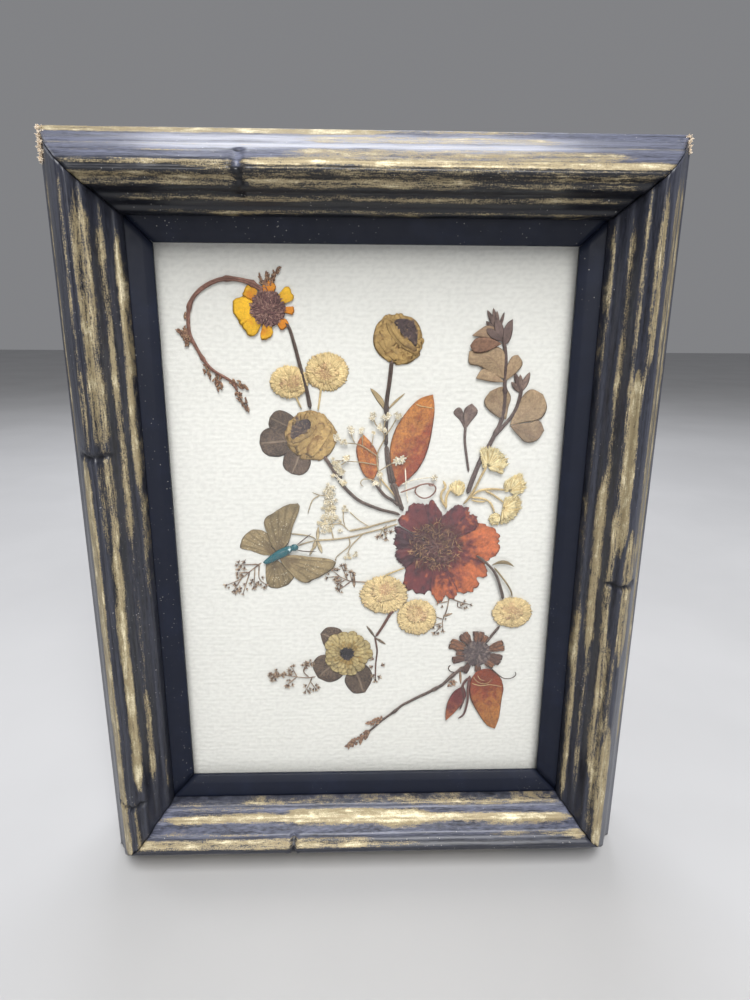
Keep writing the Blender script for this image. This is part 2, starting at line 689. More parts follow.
def backing_card(colours):
    made, tree, shader = new_material("brown_card")
    if not tree:
        return made
    fibres = lumps(tree, 1500, 4, roughness=0.7)
    stains = ramp(tree, lumps(tree, 40, 4), 0.45, 0.7, 0.0, 0.5)
    card = blend(tree, stains, tuple(colours.card), tuple(c * 0.62 for c in colours.card))
    speck = blend(tree, ramp(tree, fibres, 0.4, 0.62), card, tuple(c * 0.75 for c in colours.card))
    wire(tree, shader, Base_Color=speck, Roughness=0.9)
    bump(tree, shader, fibres, 0.1 * MM)
    return made


def butterfly_paint(colours):
    made, tree, shader = new_material("teal_enamel")
    if not tree:
        return made
    wear = ramp(tree, lumps(tree, 900, 3), 0.52, 0.66)
    sheen = blend(tree, ramp(tree, mask(tree, "tone"), 0.2, 0.9), tuple(colours.teal), (0.66, 0.78, 0.82))
    worn = blend(tree, calc(tree, "MULTIPLY", wear, 0.5), sheen, tuple(c * 0.35 for c in colours.teal))
    wire(tree, shader, Base_Color=worn, Roughness=ramp(tree, wear, 0.0, 1.0, 0.22, 0.5))
    bump(tree, shader, lumps(tree, 1500, 2), 0.04 * MM)
    return made


def dark_stem(colours):
    return tissue("dark_stem_finish", colours.dark_stem, linear(112, 92, 84), linear(50, 42, 40),
                  blotches=0.5, pleats=0.5, pleat_count=5, edge=0.5)


def red_stem(colours):
    return tissue("red_brown_stem_finish", colours.red_stem, linear(160, 124, 104), linear(86, 56, 48),
                  blotches=0.4, pleats=0.4, pleat_count=5, edge=0.5)


def bud_scale():
    return tissue("bud_scale_finish", linear(140, 106, 86), linear(172, 140, 112), linear(84, 60, 52),
                  blotches=0.5, rib=0.5, edge=0.4)


def straw_stalk():
    return tissue("straw_stalk_finish", linear(202, 180, 134), dark=linear(142, 118, 82), pleats=0.3,
                  pleat_count=5)


def white_petal(colours):
    return tissue("white_floret_finish", colours.white_floret, linear(220, 206, 172), linear(176, 156, 120))


def seed_husk(colours):
    return tissue("seed_husk_finish", colours.seed, linear(184, 160, 134), linear(62, 44, 38), blotches=0.4)


def brown_leaf(colours):
    return tissue("brown_leaf_finish", colours.brown_leaf, linear(138, 120, 102), linear(58, 47, 43),
                  blotches=0.8, rib=-0.7, veins=0.5, vein_count=9, edge=0.25, grain=1.1)


# ---- the moulding and the slip

# Moulding section, (out from the opening's edge, towards the viewer from the slip's lip)
MOULDING_FACE = [
    (6.2, 3.6), (6.4, 6.3), (6.9, 7.5), (7.8, 7.9), (8.3, 8.8), (8.8, 10.0), (9.5, 10.8), (10.2, 11.2),
    (10.6, 12.4), (11.0, 14.5), (11.6, 15.5), (12.5, 15.8), (13.0, 16.3), (13.7, 17.5), (14.7, 18.2),
    (15.6, 17.3), (16.7, 17.1), (18.0, 15.6), (19.3, 14.1), (20.6, 12.2), (21.5, 10.2), (22.2, 8.5),
    (23.4, 6.6), (25.4, 2.8), (27.7, 0.0)]
RAIL_REACH = 27.7                # from the opening's edge to the moulding's outer edge
REBATE = 12.3                    # from the opening's edge to the rebate's wall
SIGHT_EDGE = (9.3, 3.6)          # the corner where the moulding's sight edge meets the rebate
FACE_STEPS = 92                  # stretches of mesh across the moulding's face
SLIP_STATIONS = 60
SPLINTER_FOOT = 27.5             # how far out the torn fibres start
OPENING = {"top": 165.1, "bottom": 165.1, "left": 114.3, "right": 114.3}
EDGE_RUN = {"top": 114.3, "bottom": 114.3, "left": 165.1, "right": 165.1}
# Cuts across the reeds: where along the rail, and from how far out to how far out
NOTCHES = {"top": [(-31.4, 9.8, 19.8)], "bottom": [(-23.2, 11.2, 19)],
           "left": [(-81.5, 11.2, 20.5), (27.8, 10.9, 19.5)], "right": [(-9.6, 11, 20)]}
CREST = 18.2                     # the moulding's highest point
LIP_PLANE = -2.9 * MM            # world y of the slip's lip
MITRE_GAP = 0.15                 # room between two lengths at a mitre

# Strokes of gold on each rail: out from the opening's edge, low and high, then where they start
# and stop along the rail, and how thickly the gold lies
GOLD_STROKES = {
    "top": [(6.4, 7.2, -54, 62, 0.5), (8.8, 10, -62, 66, 0.55), (11.2, 14, -74, -30, 0.5),
            (11, 13.2, -30, 26, 0.62), (11.2, 12.6, 26, 66, 0.45), (15.5, 16.3, -78, -38, 0.75),
            (14.4, 16.4, -42, -30, 0.62), (15.4, 17.4, -30, 74, 0.85), (12.8, 15.4, -30, 74, 0.36),
            (17, 20.4, -18, 62, 0.6), (22.8, 25.4, -16, 48, 0.6), (25.9, 27.8, -84, 4, 0.9),
            (26.7, 27.8, 4, 44, 0.6), (21.6, 22.3, 46, 80, 0.5), (18.9, 19.5, -80, -34, 0.45),
            (21.3, 21.8, -82, 40, 0.5), (16.4, 16.9, -76, -36, 0.5)],
    "bottom": [(6.2, 7.6, 12, 64, 0.66), (6.2, 7.0, -64, 12, 0.4), (8.6, 10.3, -64, -20, 1.0),
               (8.0, 10.5, -26, 20, 1.15), (8.8, 10.5, 14, 66, 1.05), (7.5, 8.3, -60, -32, 0.42),
               (12.4, 14.4, -76, 2, 0.66), (13.3, 14.2, -2, 16, 0.5), (11.4, 12.8, 40, 64, 0.5),
               (11.2, 13.6, 64, 70, 0.9), (11.0, 11.7, -66, -30, 0.45), (19.5, 25.4, -76, 50, 0.5)],
    "left": [(6.3, 7.8, 16, 82, 0.9), (6.3, 7.3, -14, 18, 0.5), (6.3, 6.9, -84, -70, 0.5),
             (9, 10.3, -76, -44, 0.72), (9, 10, -46, 4, 0.34), (8.8, 10.2, 2, 87, 0.68),
             (11.2, 13.3, -74, 2, 0.92), (11, 12.9, 0, 30, 0.62), (11, 14.3, 30, 90, 0.6),
             (13.4, 14.3, -98, -82, 0.7), (16.2, 19.3, -102, 26, 0.82), (15.3, 17.2, 30, 52, 0.5),
             (15.9, 16.7, 50, 97, 0.5), (13, 14.2, 2, 28, 0.4), (24.3, 25.8, 26, 99, 0.62)],
    "right": [(6.3, 7.7, -86, -20, 0.72), (6.3, 6.9, -20, 62, 0.36), (6.3, 7.3, 52, 86, 0.55),
              (9, 10.1, -82, -30, 0.5), (8.4, 10.3, -32, 20, 0.85), (9.5, 10.5, 18, 86, 0.6),
              (11, 12.5, -72, 14, 0.68), (12, 13.9, -92, -28, 0.5), (12.2, 14.3, 2, 48, 0.9),
              (11.4, 12.5, 12, 92, 0.55), (13.9, 14.6, 44, 90, 0.72), (13.9, 17.6, -100, -58, 0.85),
              (14, 15.2, -60, -30, 0.5), (14.4, 18.5, -32, 4, 0.66), (18.4, 20.8, -4, 94, 0.62),
              (24.2, 26.6, -70, 98, 0.75), (14.4, 16.4, 52, 92, 0.7), (20.4, 21.4, 60, 96, 0.6)],
}
# Grooves in the crest: out, half width, depth, and where they start and stop along the rail
GROOVES = {"top": [(14.9, 0.5, 0.75, -74, -38)], "bottom": [],
           "left": [(15.1, 0.8, 0.6, -100, 27), (15.4, 0.9, 0.5, 36, 96)],
           "right": [(16.2, 1.2, 0.5, 4, 92), (13.0, 0.5, 0.4, -88, -30)]}
OUTER_WEAR = {"top": 0.0, "bottom": 0.0, "left": 0.9, "right": 0.1}


def fade(value, low, high, soft):
    """1 inside a range and 0 outside it, over a soft edge."""
    return min(max(min(value - low, high - value) / soft + 0.5, 0.0), 1.0)


def gold_strength(strokes, out, run):
    """How thickly gold lies at a place on a rail; strokes stray and thin out towards their ends."""
    strength = 0.0
    for low, high, start, stop, amount in strokes:
        stray = 0.3 * noise.noise(Vector((run / 22, low * 3, 1.0)))
        ends = fade(run, start, stop, 7.0)
        if ends:
            pinch = 0.35 * (high - low) * (1 - ends)
            lies = fade(out + stray, low + pinch, high - pinch, 0.7)
            strength = max(strength, amount * (0.45 + 0.55 * ends) * lies)
    return strength


class Rail:
    """One mitred length: its section swept along an edge of the opening."""

    def __init__(self, side):
        self.side = side
        self.half_opening = OPENING[side] / 2
        self.half_run = EDGE_RUN[side] / 2

    def world(self, run, out, forward):
        across = self.half_opening + out
        across = -across if self.side in ("bottom", "left") else across
        x, y = (run, across) if self.side in ("top", "bottom") else (across, run)
        return Vector((x * MM, LIP_PLANE - forward * MM, CENTRE_HEIGHT + y * MM))

    def sweep(self, piece, ring, stations, carve, values):
        """Sweep a closed ring of (out, forward) from mitre to mitre and cap both ends."""
        count = len(ring)

        def place(u, v):
            index = round(u * count) % count
            out, forward = ring[index]
            run = (2 * v - 1) * (self.half_run + out - MITRE_GAP)
            if self.side in ("top", "bottom"):
                run = max(run, OUTER_WEAR["left"] - self.half_run - RAIL_REACH)
            out, forward = carve(index, run, out, forward)
            return self.world(run, out, forward), values(run, out, forward)

        piece.patch((count, stations), place)
        ends = [edge for edge in piece.shape.edges if edge.is_boundary]
        caps = bmesh.ops.holes_fill(piece.shape, edges=ends, sides=0)["faces"]
        for cap in caps:
            cap.smooth = False


class AddRails(Operator):
    """Add the four lengths of carved moulding, painted black and brushed with gold"""
    bl_idname = "pressed.rails"
    bl_label = "Moulding"

    def execute(self, context):
        sizes, colours = context.scene.pressed_sizes, context.scene.pressed_colours
        finish = gilded_paint(colours)
        for side in ("top", "bottom", "left", "right"):
            self.add_rail(side, sizes, finish)
        return {"FINISHED"}

    def add_rail(self, side, sizes, finish):
        back = (LIP_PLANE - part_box(f"rail_{side}")[1].y) / MM
        face = [tuple(point) for point in smooth_line(MOULDING_FACE, FACE_STEPS)]
        flank = [(RAIL_REACH, back * k / 6) for k in range(1, 7)]
        rear = [(RAIL_REACH - (RAIL_REACH - REBATE) * k / 4, back) for k in range(1, 5)]
        inner = [(REBATE, back + (SIGHT_EDGE[1] - back) * k / 6) for k in range(1, 7)] + [SIGHT_EDGE]
        ring = face + flank + rear + inner
        rail = Rail(side)
        notch_depth = sizes.notch_depth / MM
        notch_reach = sizes.notch_reach / MM * (1.5 if side == "top" else 1)
        wander = sizes.reed_wander / MM
        rubbed = (6.8, 12.4) if side == "bottom" else (17.0, 29.0)
        base_rub = 0.05 if side == "top" else 0.25
        rub_share = {"left": 0.1, "right": 0.3}.get(side, 1.0)
        lit_cut = {"top": (15.3, 20), "bottom": (10.6, 12.2)}.get(side, (0, 0))

        def cutting(run, out):
            cut = 0.0
            for place, low, high in NOTCHES[side]:
                off = (run - place + 0.1 * math.sin(out * 0.9)) / notch_reach
                lips = 0.25 * math.exp(-((abs(off) - 1.8) ** 2) * 3)
                cut = max(cut, (math.exp(-off * off * 1.5) - lips) * fade(out, low, high, 1.2), key=abs)
            return cut

        def carve(index, run, out, forward):
            if index == 0 or index >= len(face):
                return out, forward
            edge = min(index, len(face) - 1 - index, 6) / 6
            stray = wander * edge * noise.noise(Vector((run / 17, out / 2.2, 3.0 + len(side))))
            knife = wander * 0.6 * edge * noise.noise(Vector((run / 4.0, out / 0.7, 9.0)))
            forward += stray * 0.8 + knife - cutting(run, out) * notch_depth
            for middle, half, depth, start, stop in GROOVES[side]:
                off = (out - middle + stray * 2) / half
                forward -= depth * fade(run, start, stop, 8) * math.exp(-off ** 2)
            wear = OUTER_WEAR[side] * min(max((out - 22) / 5.7, 0), 1)
            return min(out + stray * 0.6, RAIL_REACH) - wear, min(forward, CREST)

        def values(run, out, forward):
            front = forward > -0.5
            shown = out if front else RAIL_REACH - forward + RAIL_REACH - out
            gold = gold_strength(GOLD_STROKES[side], out, run) if front else 0.2
            cut = max(cutting(run, out), 0) if front else 0.0
            rub = base_rub + (1 - base_rub) * fade(out, *rubbed, 2.0) * rub_share
            rub = max(rub, 1.6 * cut) if lit_cut[0] < out < lit_cut[1] else rub * (1 - cut)
            return gold * (1 - 0.95 * cut), rub, run, shown, 0.0

        piece = Piece(f"moulding_{side}", RAIL_MASKS)
        stations = int(2 * (rail.half_run + RAIL_REACH) * MM / sizes.station_step)
        rail.sweep(piece, ring, stations, carve, values)
        if side == "top":
            self.add_splinters(piece, rail)
        piece.place([finish], "black_gold_paint", f"rail_{side}")

    def add_splinters(self, piece, rail):
        """Torn wood fibres on the outer corners of the two upper mitres."""
        outs, forwards = zip(*MOULDING_FACE)
        raw = piece.masks[RAIL_MASKS.index("raw")]
        for end, count, drop, corner in ((-1, 420, 8.5, 27.0), (1, 120, 4.5, SPLINTER_FOOT)):
            for _ in range(count):
                down = drop * piece.dice.random()
                torn = noise.noise(Vector((down * 1.3, end, 0))) > 0.1
                aside = abs(piece.dice.gauss(0, 0.5)) + 0.9 * torn
                face = float(np.interp(RAIL_REACH - min(down, aside), outs, forwards))
                forward = face + piece.vary(-0.2, 0.3)
                foot = rail.world(end * (rail.half_run + corner - aside), SPLINTER_FOOT - down, forward)
                turn = Matrix.Rotation(piece.vary(0, math.tau), 4, "Y")
                turn = turn @ Matrix.Rotation(piece.vary(0.9, 2.2), 4, "X")
                made = bmesh.ops.create_cone(piece.shape, segments=4, radius1=0.3 * MM, radius2=0.07 * MM,
                    depth=piece.vary(0.6, 2.2) * MM, cap_ends=True,
                    matrix=Matrix.Translation(foot) @ turn)["verts"]
                for vert in made:
                    vert[raw] = 1.0
                    vert.co.x = min(max(vert.co.x, CAD_BOX[0].x), CAD_BOX[1].x)
                    vert.co.z = min(vert.co.z, CAD_BOX[1].z)


class AddSlips(Operator):
    """Add the four lengths of the black slip with their worn edges"""
    bl_idname = "pressed.slips"
    bl_label = "Slip"

    def execute(self, context):
        finish = black_satin(context.scene.pressed_colours)
        edge = context.scene.pressed_sizes.slip_edge / MM
        for side in ("top", "bottom", "left", "right"):
            back = (LIP_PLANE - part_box(f"slip_{side}")[1].y) / MM
            corners = [(0.0, 0.0), (0.0, 1.2), (2.3, 2.2), (6.2, 3.1), (12.0, 3.3), (12.0, back),
                       (6.65, back), (6.65, 0.0)]
            ring = []
            for index, corner in enumerate(corners):
                here, before = Vector(corner), Vector(corners[index - 1])
                after = Vector(corners[(index + 1) % len(corners)])
                radius = min(edge, (here - before).length * 0.4, (after - here).length * 0.4)
                start = here + (before - here).normalized() * radius
                stop = here + (after - here).normalized() * radius
                for t in (0.0, 0.33, 0.67, 1.0):
                    ring.append(tuple(start.lerp(here, t).lerp(here.lerp(stop, t), t)))
            rail = Rail(side)
            piece = Piece(f"satin_slip_{side}", ("run", "out"))
            rail.sweep(piece, ring, SLIP_STATIONS, lambda index, run, out, forward: (out, forward),
                       lambda run, out, forward: (run, out))
            piece.place([finish], "black_satin", f"slip_{side}")
        return {"FINISHED"}


class AddGlazing(Operator):
    """Add the ribbed paper, and finish the glass and the backing board"""
    bl_idname = "pressed.glazing"
    bl_label = "Glass, Paper and Board"

    def execute(self, context):
        sizes, colours = context.scene.pressed_sizes, context.scene.pressed_colours
        self.add_paper(sizes, laid_paper(colours))
        for name, finish, slot in (("glass", clear_glass(), "clear_glass"),
                ("backing_board", backing_card(colours), "grey_board")):
            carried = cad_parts[name]
            carried.data.materials.clear()
            carried.data.materials.append(finish)
        return {"FINISHED"}

    def add_paper(self, sizes, finish):
        wide, tall = PAPER_HIGH.x - PAPER_LOW.x, PAPER_HIGH.z - PAPER_LOW.z
        piece = Piece("laid_mount", ("rib",))

        def place(u, v):
            x, height = PAPER_LOW.x + wide * u, PAPER_LOW.z + tall * v
            row = height / sizes.rib_pitch
            fine = noise.noise(Vector((x / 0.0009, row * 1.5, 4)))
            ridge = noise.noise(Vector((x / 0.0013, row, 0))) + 0.8 * fine
            laid = 0.16 * math.sin(math.tau * row * 0.8 + 3 * noise.noise(Vector((x / 0.02, row / 5, 8))))
            depth = min(max(0.45 + 0.85 * ridge + laid, 0), 1)
            return Vector((x, PAPER_LOW.y + sizes.rib_height * depth, height)), (depth,)

        piece.patch((190, int(tall / sizes.rib_pitch * 2.6)), place)
        ends = [edge for edge in piece.shape.edges if edge.is_boundary]
        walls = bmesh.ops.extrude_edge_only(piece.shape, edges=ends)["geom"]
        for vert in (item for item in walls if isinstance(item, bmesh.types.BMVert)):
            vert.co.y = PAPER_HIGH.y
            vert[piece.masks[0]] = 0
        # The extrusion makes its walls in any order, so they are put in one that is the same each run
        sides = [item for item in walls if isinstance(item, bmesh.types.BMFace)]
        piece.shape.faces.index_update()
        turns = sorted(side.index for side in sides)
        for turn, side in zip(turns, sorted(sides, key=lambda side: tuple(side.calc_center_median()))):
            side.index = turn
        piece.shape.faces.sort()
        open_edges = [item for item in walls if isinstance(item, bmesh.types.BMEdge) and item.is_boundary]
        bmesh.ops.holes_fill(piece.shape, edges=open_edges, sides=0)
        piece.place([finish], "laid_paper", "mount_paper")


# ---- shared flower forms

def fibre_disc(piece, middle, radius, count, lift, finish=0, reach=1.1, squash=1.0, height=0.45, width=0.35):
    """Fill a disc with short fibres that lean out from its middle."""
    for index in range(count):
        share = math.sqrt((index + 0.5) / count)
        angle = index * GOLDEN_ANGLE + piece.vary(-0.3, 0.3)
        step = Vector((math.cos(angle), math.sin(angle) * squash))
        foot = Vector(middle) + step * (radius * share * 0.92)
        lean = turned(angle + piece.vary(-0.9, 0.9), reach * piece.vary(0.5, 1.1))
        rise = lift + height * (1 - share * share) + piece.vary(0, 0.2)
        piece.petal(foot - lean * 0.5, foot + lean * 0.5, width * piece.vary(0.7, 1.4),
                    lift=(rise, rise + piece.vary(-0.1, 0.25)), cells=(1, 3), narrow=0.4, crinkle=0.0,
                    finish=finish, tone=piece.vary(-0.5, 1.0))


def petal_ring(piece, middle, inner, outer, count, width, lift, squash=1.0, turn=0.0, jitter=0.12, sizes=0.15,
               stagger=0.12, **form):
    """Add a ring of petals round a middle, from the inner to the outer radius."""
    for index in range(count):
        angle = turn + math.tau * (index + piece.vary(-jitter, jitter)) / count
        step = Vector((math.cos(angle), math.sin(angle) * squash))
        reach = outer * (1 + piece.vary(-sizes, sizes * 0.4))
        foot, tip = Vector(middle) + step * inner, Vector(middle) + step * reach
        rise = piece.vary(0, stagger)
        piece.petal(foot, tip, width * piece.vary(0.85, 1.15), lift=(lift + rise, lift + rise * 0.4), **form)


def everlasting(piece, middle, across, up, lift, heart):
    """A pressed everlasting bloom: fine papery bracts round a flat button with a darker heart."""
    squash = up / across
    ring = [Vector(middle) + Vector((across * math.cos(k), up * math.sin(k))) * 0.93
            for k in (math.tau * n / 14 for n in range(14))]
    piece.pad(ring, lift, 0.12, cells=(36, 6), tone=0.05)
    rings = ((0.55, 1.02, 84, 0.05), (0.5, 0.95, 76, 0), (0.45, 0.86, 64, -0.05), (0.3, 0.6, 44, 0.3),
             (0.22, 0.5, 36, 0.2))
    for level, (inner, outer, count, tone) in enumerate(rings):
        centre = Vector(middle).lerp(Vector(heart), level / 5)
        loose = level > 2
        petal_ring(piece, centre, across * inner, across * outer, count, across * 0.115,
                   lift + 0.06 + 0.03 * level + 0.08 * loose, squash, turn=level * 0.9,
                   sizes=0.07 + 0.12 * loose, stagger=0.06, cells=(2, 5), thick=0.05, belly=0.75, narrow=0.6,
                   blunt=2.0, frill=0.3, crinkle=0.04, lump=0.8,
                   tone=lambda s, v, x, y, t=tone: t + 0.25 * (1 - v) + 0.25 * ripple(x, y, 1, 1.3))
    button = [Vector(heart) + Vector((across * math.cos(k), up * math.sin(k))) * 0.36
              for k in (math.tau * n / 12 for n in range(12))]
    piece.pad(button, lift + 0.24, 0.1, cells=(24, 5), tone=0.75)
    fibre_disc(piece, heart, across * 0.34, 70, lift + 0.3, reach=0.7, squash=squash, height=0.06, width=0.24)


def wrapped_bud(piece, outline, heart, heart_outline, roll, lift=0.3, petals=10):
    """A pressed double bloom: crumpled petals wrapped round a dark heart."""
    ring = smooth_line(outline, 48, closed=True)[:-1]
    middle = ring.mean(axis=0)
    heart = np.array(heart, float)

    def toned(base_tone):
        def tone(s, v, x, y):
            near = max(1 - math.dist((x, y), heart) / 4.2, 0)
            return base_tone + 1.1 * near - 1.2 * (1 - v) ** 2 + 0.5 * ripple(x, y, base_tone, 1.2)

        return tone

    piece.pad(outline, lift, 0.35, cells=(64, 12), crinkle=0.15, lump=1.7, tone=-0.1)
    for level, (inner, outer) in enumerate(((0.5, 0.96), (0.36, 0.82), (0.24, 0.66), (0.14, 0.46))):
        centre = middle + (heart - middle) * (0.18 + 0.22 * level)
        count = petals - 2 * level
        for index in range(count):
            here = ring[int((index + 0.5 * level + piece.vary(-0.25, 0.25)) / count * 48) % 48]
            foot = centre + (here - centre) * inner
            tip = centre + (here - centre) * outer * (1 if level == 0 else piece.vary(0.88, 1.06))
            width = 2.2 * math.dist(centre, here) * math.sin(math.pi / count) * 1.55 * outer
            rise = lift + 0.12 + 0.15 * level
            piece.petal(foot, tip, width, lift=(rise + 0.18, rise), belly=0.66, narrow=0.6, blunt=2.6,
                        cells=(10, 12), curl=-0.12, crinkle=0.14, lump=1.4, frill=0.1, pleats=3, pleat=0.03,
                        tone=toned(piece.vary(-0.1, 0.25)))
    for offset, width in ((0, 1.7), (1, 1.3)):
        points = [Vector(point) + (Vector(point) - Vector(heart)).normalized() * 1.1 * offset
                  for point in roll]
        piece.stem(points, width, width * 0.7, lift=lift + 0.62 - 0.12 * offset, flat=0.25, sides=10,
                   step=0.5, lumps=0.3, tone=0.3 - 0.4 * offset)
    piece.pad(heart_outline, lift + 0.72, 0.16, cells=(36, 7), finish=1, crinkle=0.14, lump=0.8, tone=0.1)
    core = smooth_line(heart_outline, 40, closed=True)
    for index in range(60):
        edge = Vector(core[index % 40])
        here = Vector(core[:-1].mean(axis=0)).lerp(edge, math.sqrt(piece.dice.random()) * 0.95)
        lean = turned(piece.vary(0, math.tau), 0.6)
        rise = lift + 0.88 + piece.vary(0, 0.12)
        piece.petal(here - lean, here + lean, 0.5, lift=rise, cells=(1, 3), crinkle=0, finish=1,
                    tone=piece.vary(-0.6, 0.9))


def circle(middle, radius):
    """Twelve places round a middle."""
    return [middle + turned(math.tau * k / 12, radius) for k in range(12)]


def ray_fan(piece, hub, rim, count, width, lift, tone=0.0):
    """Fine rays that spread from a hub to a rim line, in two layers."""
    inner = [Vector(hub).lerp(Vector(point), 0.9) for point in rim]
    piece.fan(hub, inner, lift - 0.3, cells=(24, 8), ragged=0.1, crinkle=0.04, lump=1.2, tone=tone)
    rim = smooth_line(rim, 60)
    for level, reach in enumerate((1.0, 0.74)):
        for index in range(count):
            share = (index + 0.5 * level + piece.vary(0.1, 0.5)) / count
            tip = Vector(hub).lerp(Vector(rim[min(int(share * 60), 60)]), reach * piece.vary(0.86, 1.04))
            foot = Vector(hub).lerp(tip, 0.12)
            rise = lift + 0.1 * level
            piece.petal(foot, tip, width * piece.vary(0.6, 1.1), lift=(rise, rise + piece.vary(0, 0.12)),
                        cells=(2, 8), thick=0.07, belly=0.82, narrow=0.3, blunt=2.0, frill=0.3, crinkle=0.05,
                        lump=1.0, tone=lambda s, v, x, y, t=piece.vary(-0.2, 0.8): tone + t + 0.3 * (1 - v))


def floret(piece, centre, radius, lift, finish=0, petals=6, tone=0.0):
    """A tiny floret: a few round petals about a grain."""
    turn = piece.vary(0, math.tau)
    for index in range(petals):
        out = turned(turn + math.tau * index / petals, radius * piece.vary(0.75, 1.25))
        piece.petal(Vector(centre) + out * 0.15, Vector(centre) + out, radius * 0.62,
                    lift=(lift, lift + 0.15), cells=(2, 4), belly=0.6, narrow=0.3, blunt=1.8, crinkle=0.0,
                    finish=finish, tone=tone + piece.vary(-0.4, 0.2))
    piece.grain(centre, radius * 0.3, lift=lift + 0.05, slim=1.0, high=0.2, cells=(6, 2), finish=finish,
                tone=0.9)


def seed_head(piece, tip, angle, size=0.55, lift=UNDER, finish=0):
    """A seed with its two husks."""
    piece.grain(tip, size * 0.75, angle, 0.65, lift=lift, high=0.45, finish=finish,
                tone=piece.vary(-0.9, 0.2))
    for side in (-1.1, -0.4, 0.35, 1.1):
        husk = turned(angle + side + piece.vary(-0.25, 0.25), size * piece.vary(1.4, 2.1))
        piece.petal(Vector(tip) - husk * 0.3, Vector(tip) + husk, size * 0.5, lift=(lift + 0.2, lift + 0.35),
                    cells=(2, 4), belly=0.5, blunt=1.5, crinkle=0.0, finish=finish, tone=piece.vary(0.3, 1.4))


def scatter_seeds(piece, tips, finish):
    """Loose seeds, each turned at random."""
    for tip in tips:
        seed_head(piece, tip, piece.vary(0, math.tau), 0.7, finish=finish)


def florets(piece, rows, count, spread, lift, pallor, finish=0):
    """Tufts of florets from rows of a tuft's middle and its size."""
    for centre, size in rows:
        for _ in range(count):
            floret(piece, Vector(centre) + turned(piece.vary(0, math.tau), size * spread), size * 0.6, lift,
                   finish=finish, tone=piece.dice.random() * pallor)


def bud_cluster(piece, base, tip, width, count, lift=0.25, finish=1):
    """A knobbly spray of small scales, widest near its foot."""
    base, tip = Vector(base), Vector(tip)
    along = tip - base
    side = Vector((-along.y, along.x)).normalized()
    for index in range(count):
        share = (index + 0.5) / count
        room = width / 2 * (0.45 + 0.55 * math.sin(math.pi * min(share + 0.15, 1)))
        here = base + along * share * 0.92 + side * piece.vary(-room, room)
        angle = math.atan2(along.y, along.x) + piece.vary(-0.9, 0.9)
        piece.grain(here, piece.vary(0.4, 0.65), angle, 0.5, lift=lift + piece.vary(0, 0.25), high=0.35,
                    cells=(8, 2), finish=finish, tone=piece.vary(-0.6, 1.0))
        if index % 3 == 0:
            piece.petal(here, here + turned(angle, 1.1), 0.6, lift=(lift + 0.2, lift + 0.45), cells=(2, 4),
                        belly=0.4, blunt=1.4, finish=finish, tone=piece.dice.random())


def twig_with_seeds(piece, stems, count, lift=UNDER, width=0.4, size=0.62):
    """Fine stalks, each set with seeds along its outer part."""
    for points in stems:
        piece.stem(points, width, width * 0.6, lift=(lift, lift + 0.15), sides=6, step=0.6, lumps=0.2,
                   tone=0.45)
        line = smooth_line(points, 24)
        for index in range(count):
            where = 24 - int(index * 14 / max(count, 1))
            here, before = Vector(line[where]), Vector(line[max(where - 1, 0)])
            away, reach = math.atan2(*(here - before).yx), 0.1
            if index:
                away += piece.dice.choice((-1, 1)) * piece.vary(0.6, 1.5)
                reach = piece.vary(0.5, 1.3)
            seed_head(piece, here + turned(away, reach), away, size * piece.vary(0.6, 1.1), lift + 0.1)


# ---- upper left

class AddYellowFlower(Operator):
    """Add the yellow flower and its stem"""
    bl_idname = "pressed.yellow_flower"
    bl_label = "Yellow Flower"

    def execute(self, context):
        colours = context.scene.pressed_colours
        petal = tissue("yellow_petal_finish", colours.yellow_petal, colours.orange_petal, linear(150, 92, 20),
                       roughness=0.6, blotches=0.2, pleats=0.12, pleat_count=11, edge=0)
        disc = tissue("mauve_disc_finish", colours.mauve_fibre, linear(160, 126, 114), linear(70, 48, 50),
                      blotches=0.35)
        middle = Vector((-27.8, 66))
        piece = Piece("yellow_bloom")
        piece.pad(circle(middle, 5), BETWEEN, 0.35, cells=(40, 8), finish=1, crinkle=0.14, lump=0.9,
                  tone=-0.5)
        rims = [([(-34.4, 69.2), (-36.9, 68.4), (-37.4, 66.6), (-37.4, 64.8), (-36.3, 63.4), (-35.2, 61)], 0),
                ([(-36.2, 63.6), (-34.9, 60.8), (-33.8, 58.8), (-32.4, 58.5), (-30.9, 59.2), (-30.6, 61.4)],
                 0.05), ([(-34.6, 69.2), (-34.2, 70.9), (-33.2, 72.1), (-31.8, 72), (-30.6, 70.8)], 0.45),
                ([(-29.2, 71.6), (-28.6, 72.9), (-27.4, 73.4), (-26, 73), (-25.2, 71.8)], 0.8),
                ([(-24.1, 70.2), (-22.7, 71.9), (-21.6, 71.4), (-20.3, 68.9), (-21.5, 67.8)], 0.1),
                ([(-22, 66.5), (-20.6, 66.5), (-20.4, 65.4), (-21, 64.3)], 0.85),
                ([(-22.6, 63), (-22.1, 61.9), (-23, 60.6), (-24.5, 60.2)], 0.9),
                ([(-26.5, 59.6), (-26.9, 58.4), (-28.2, 57.6), (-29.9, 57.5), (-30.1, 59.2)], 0.4)]
        for rim, tone in rims:
            piece.fan(middle, rim, (BETWEEN + 0.16, BETWEEN), cells=(10, 14), ragged=0.05, pleats=5,
                      pleat=0.04, crinkle=0.1, lump=1.6, tone=lambda s, v, x, y, t=tone: t + 0.5 * (1 - v))
        fibre_disc(piece, middle, 5.3, 560, BETWEEN + 0.28, finish=1, reach=1.1, height=0.3, width=0.26)
        piece.place([petal, disc], "yellow_petal", "yellow_flower")
        stem = Piece("yellow_bloom_stalk")
        stem.stem([(-24.9, 64.2), (-22.2, 61.1), (-20.7, 56.4), (-19.2, 50.3), (-17.5, 43.6), (-16.5, 38)],
                  0.9, 1.2)
        stem.place([dark_stem(colours)], "dark_stem", "yellow_flower_stem")
        return {"FINISHED"}


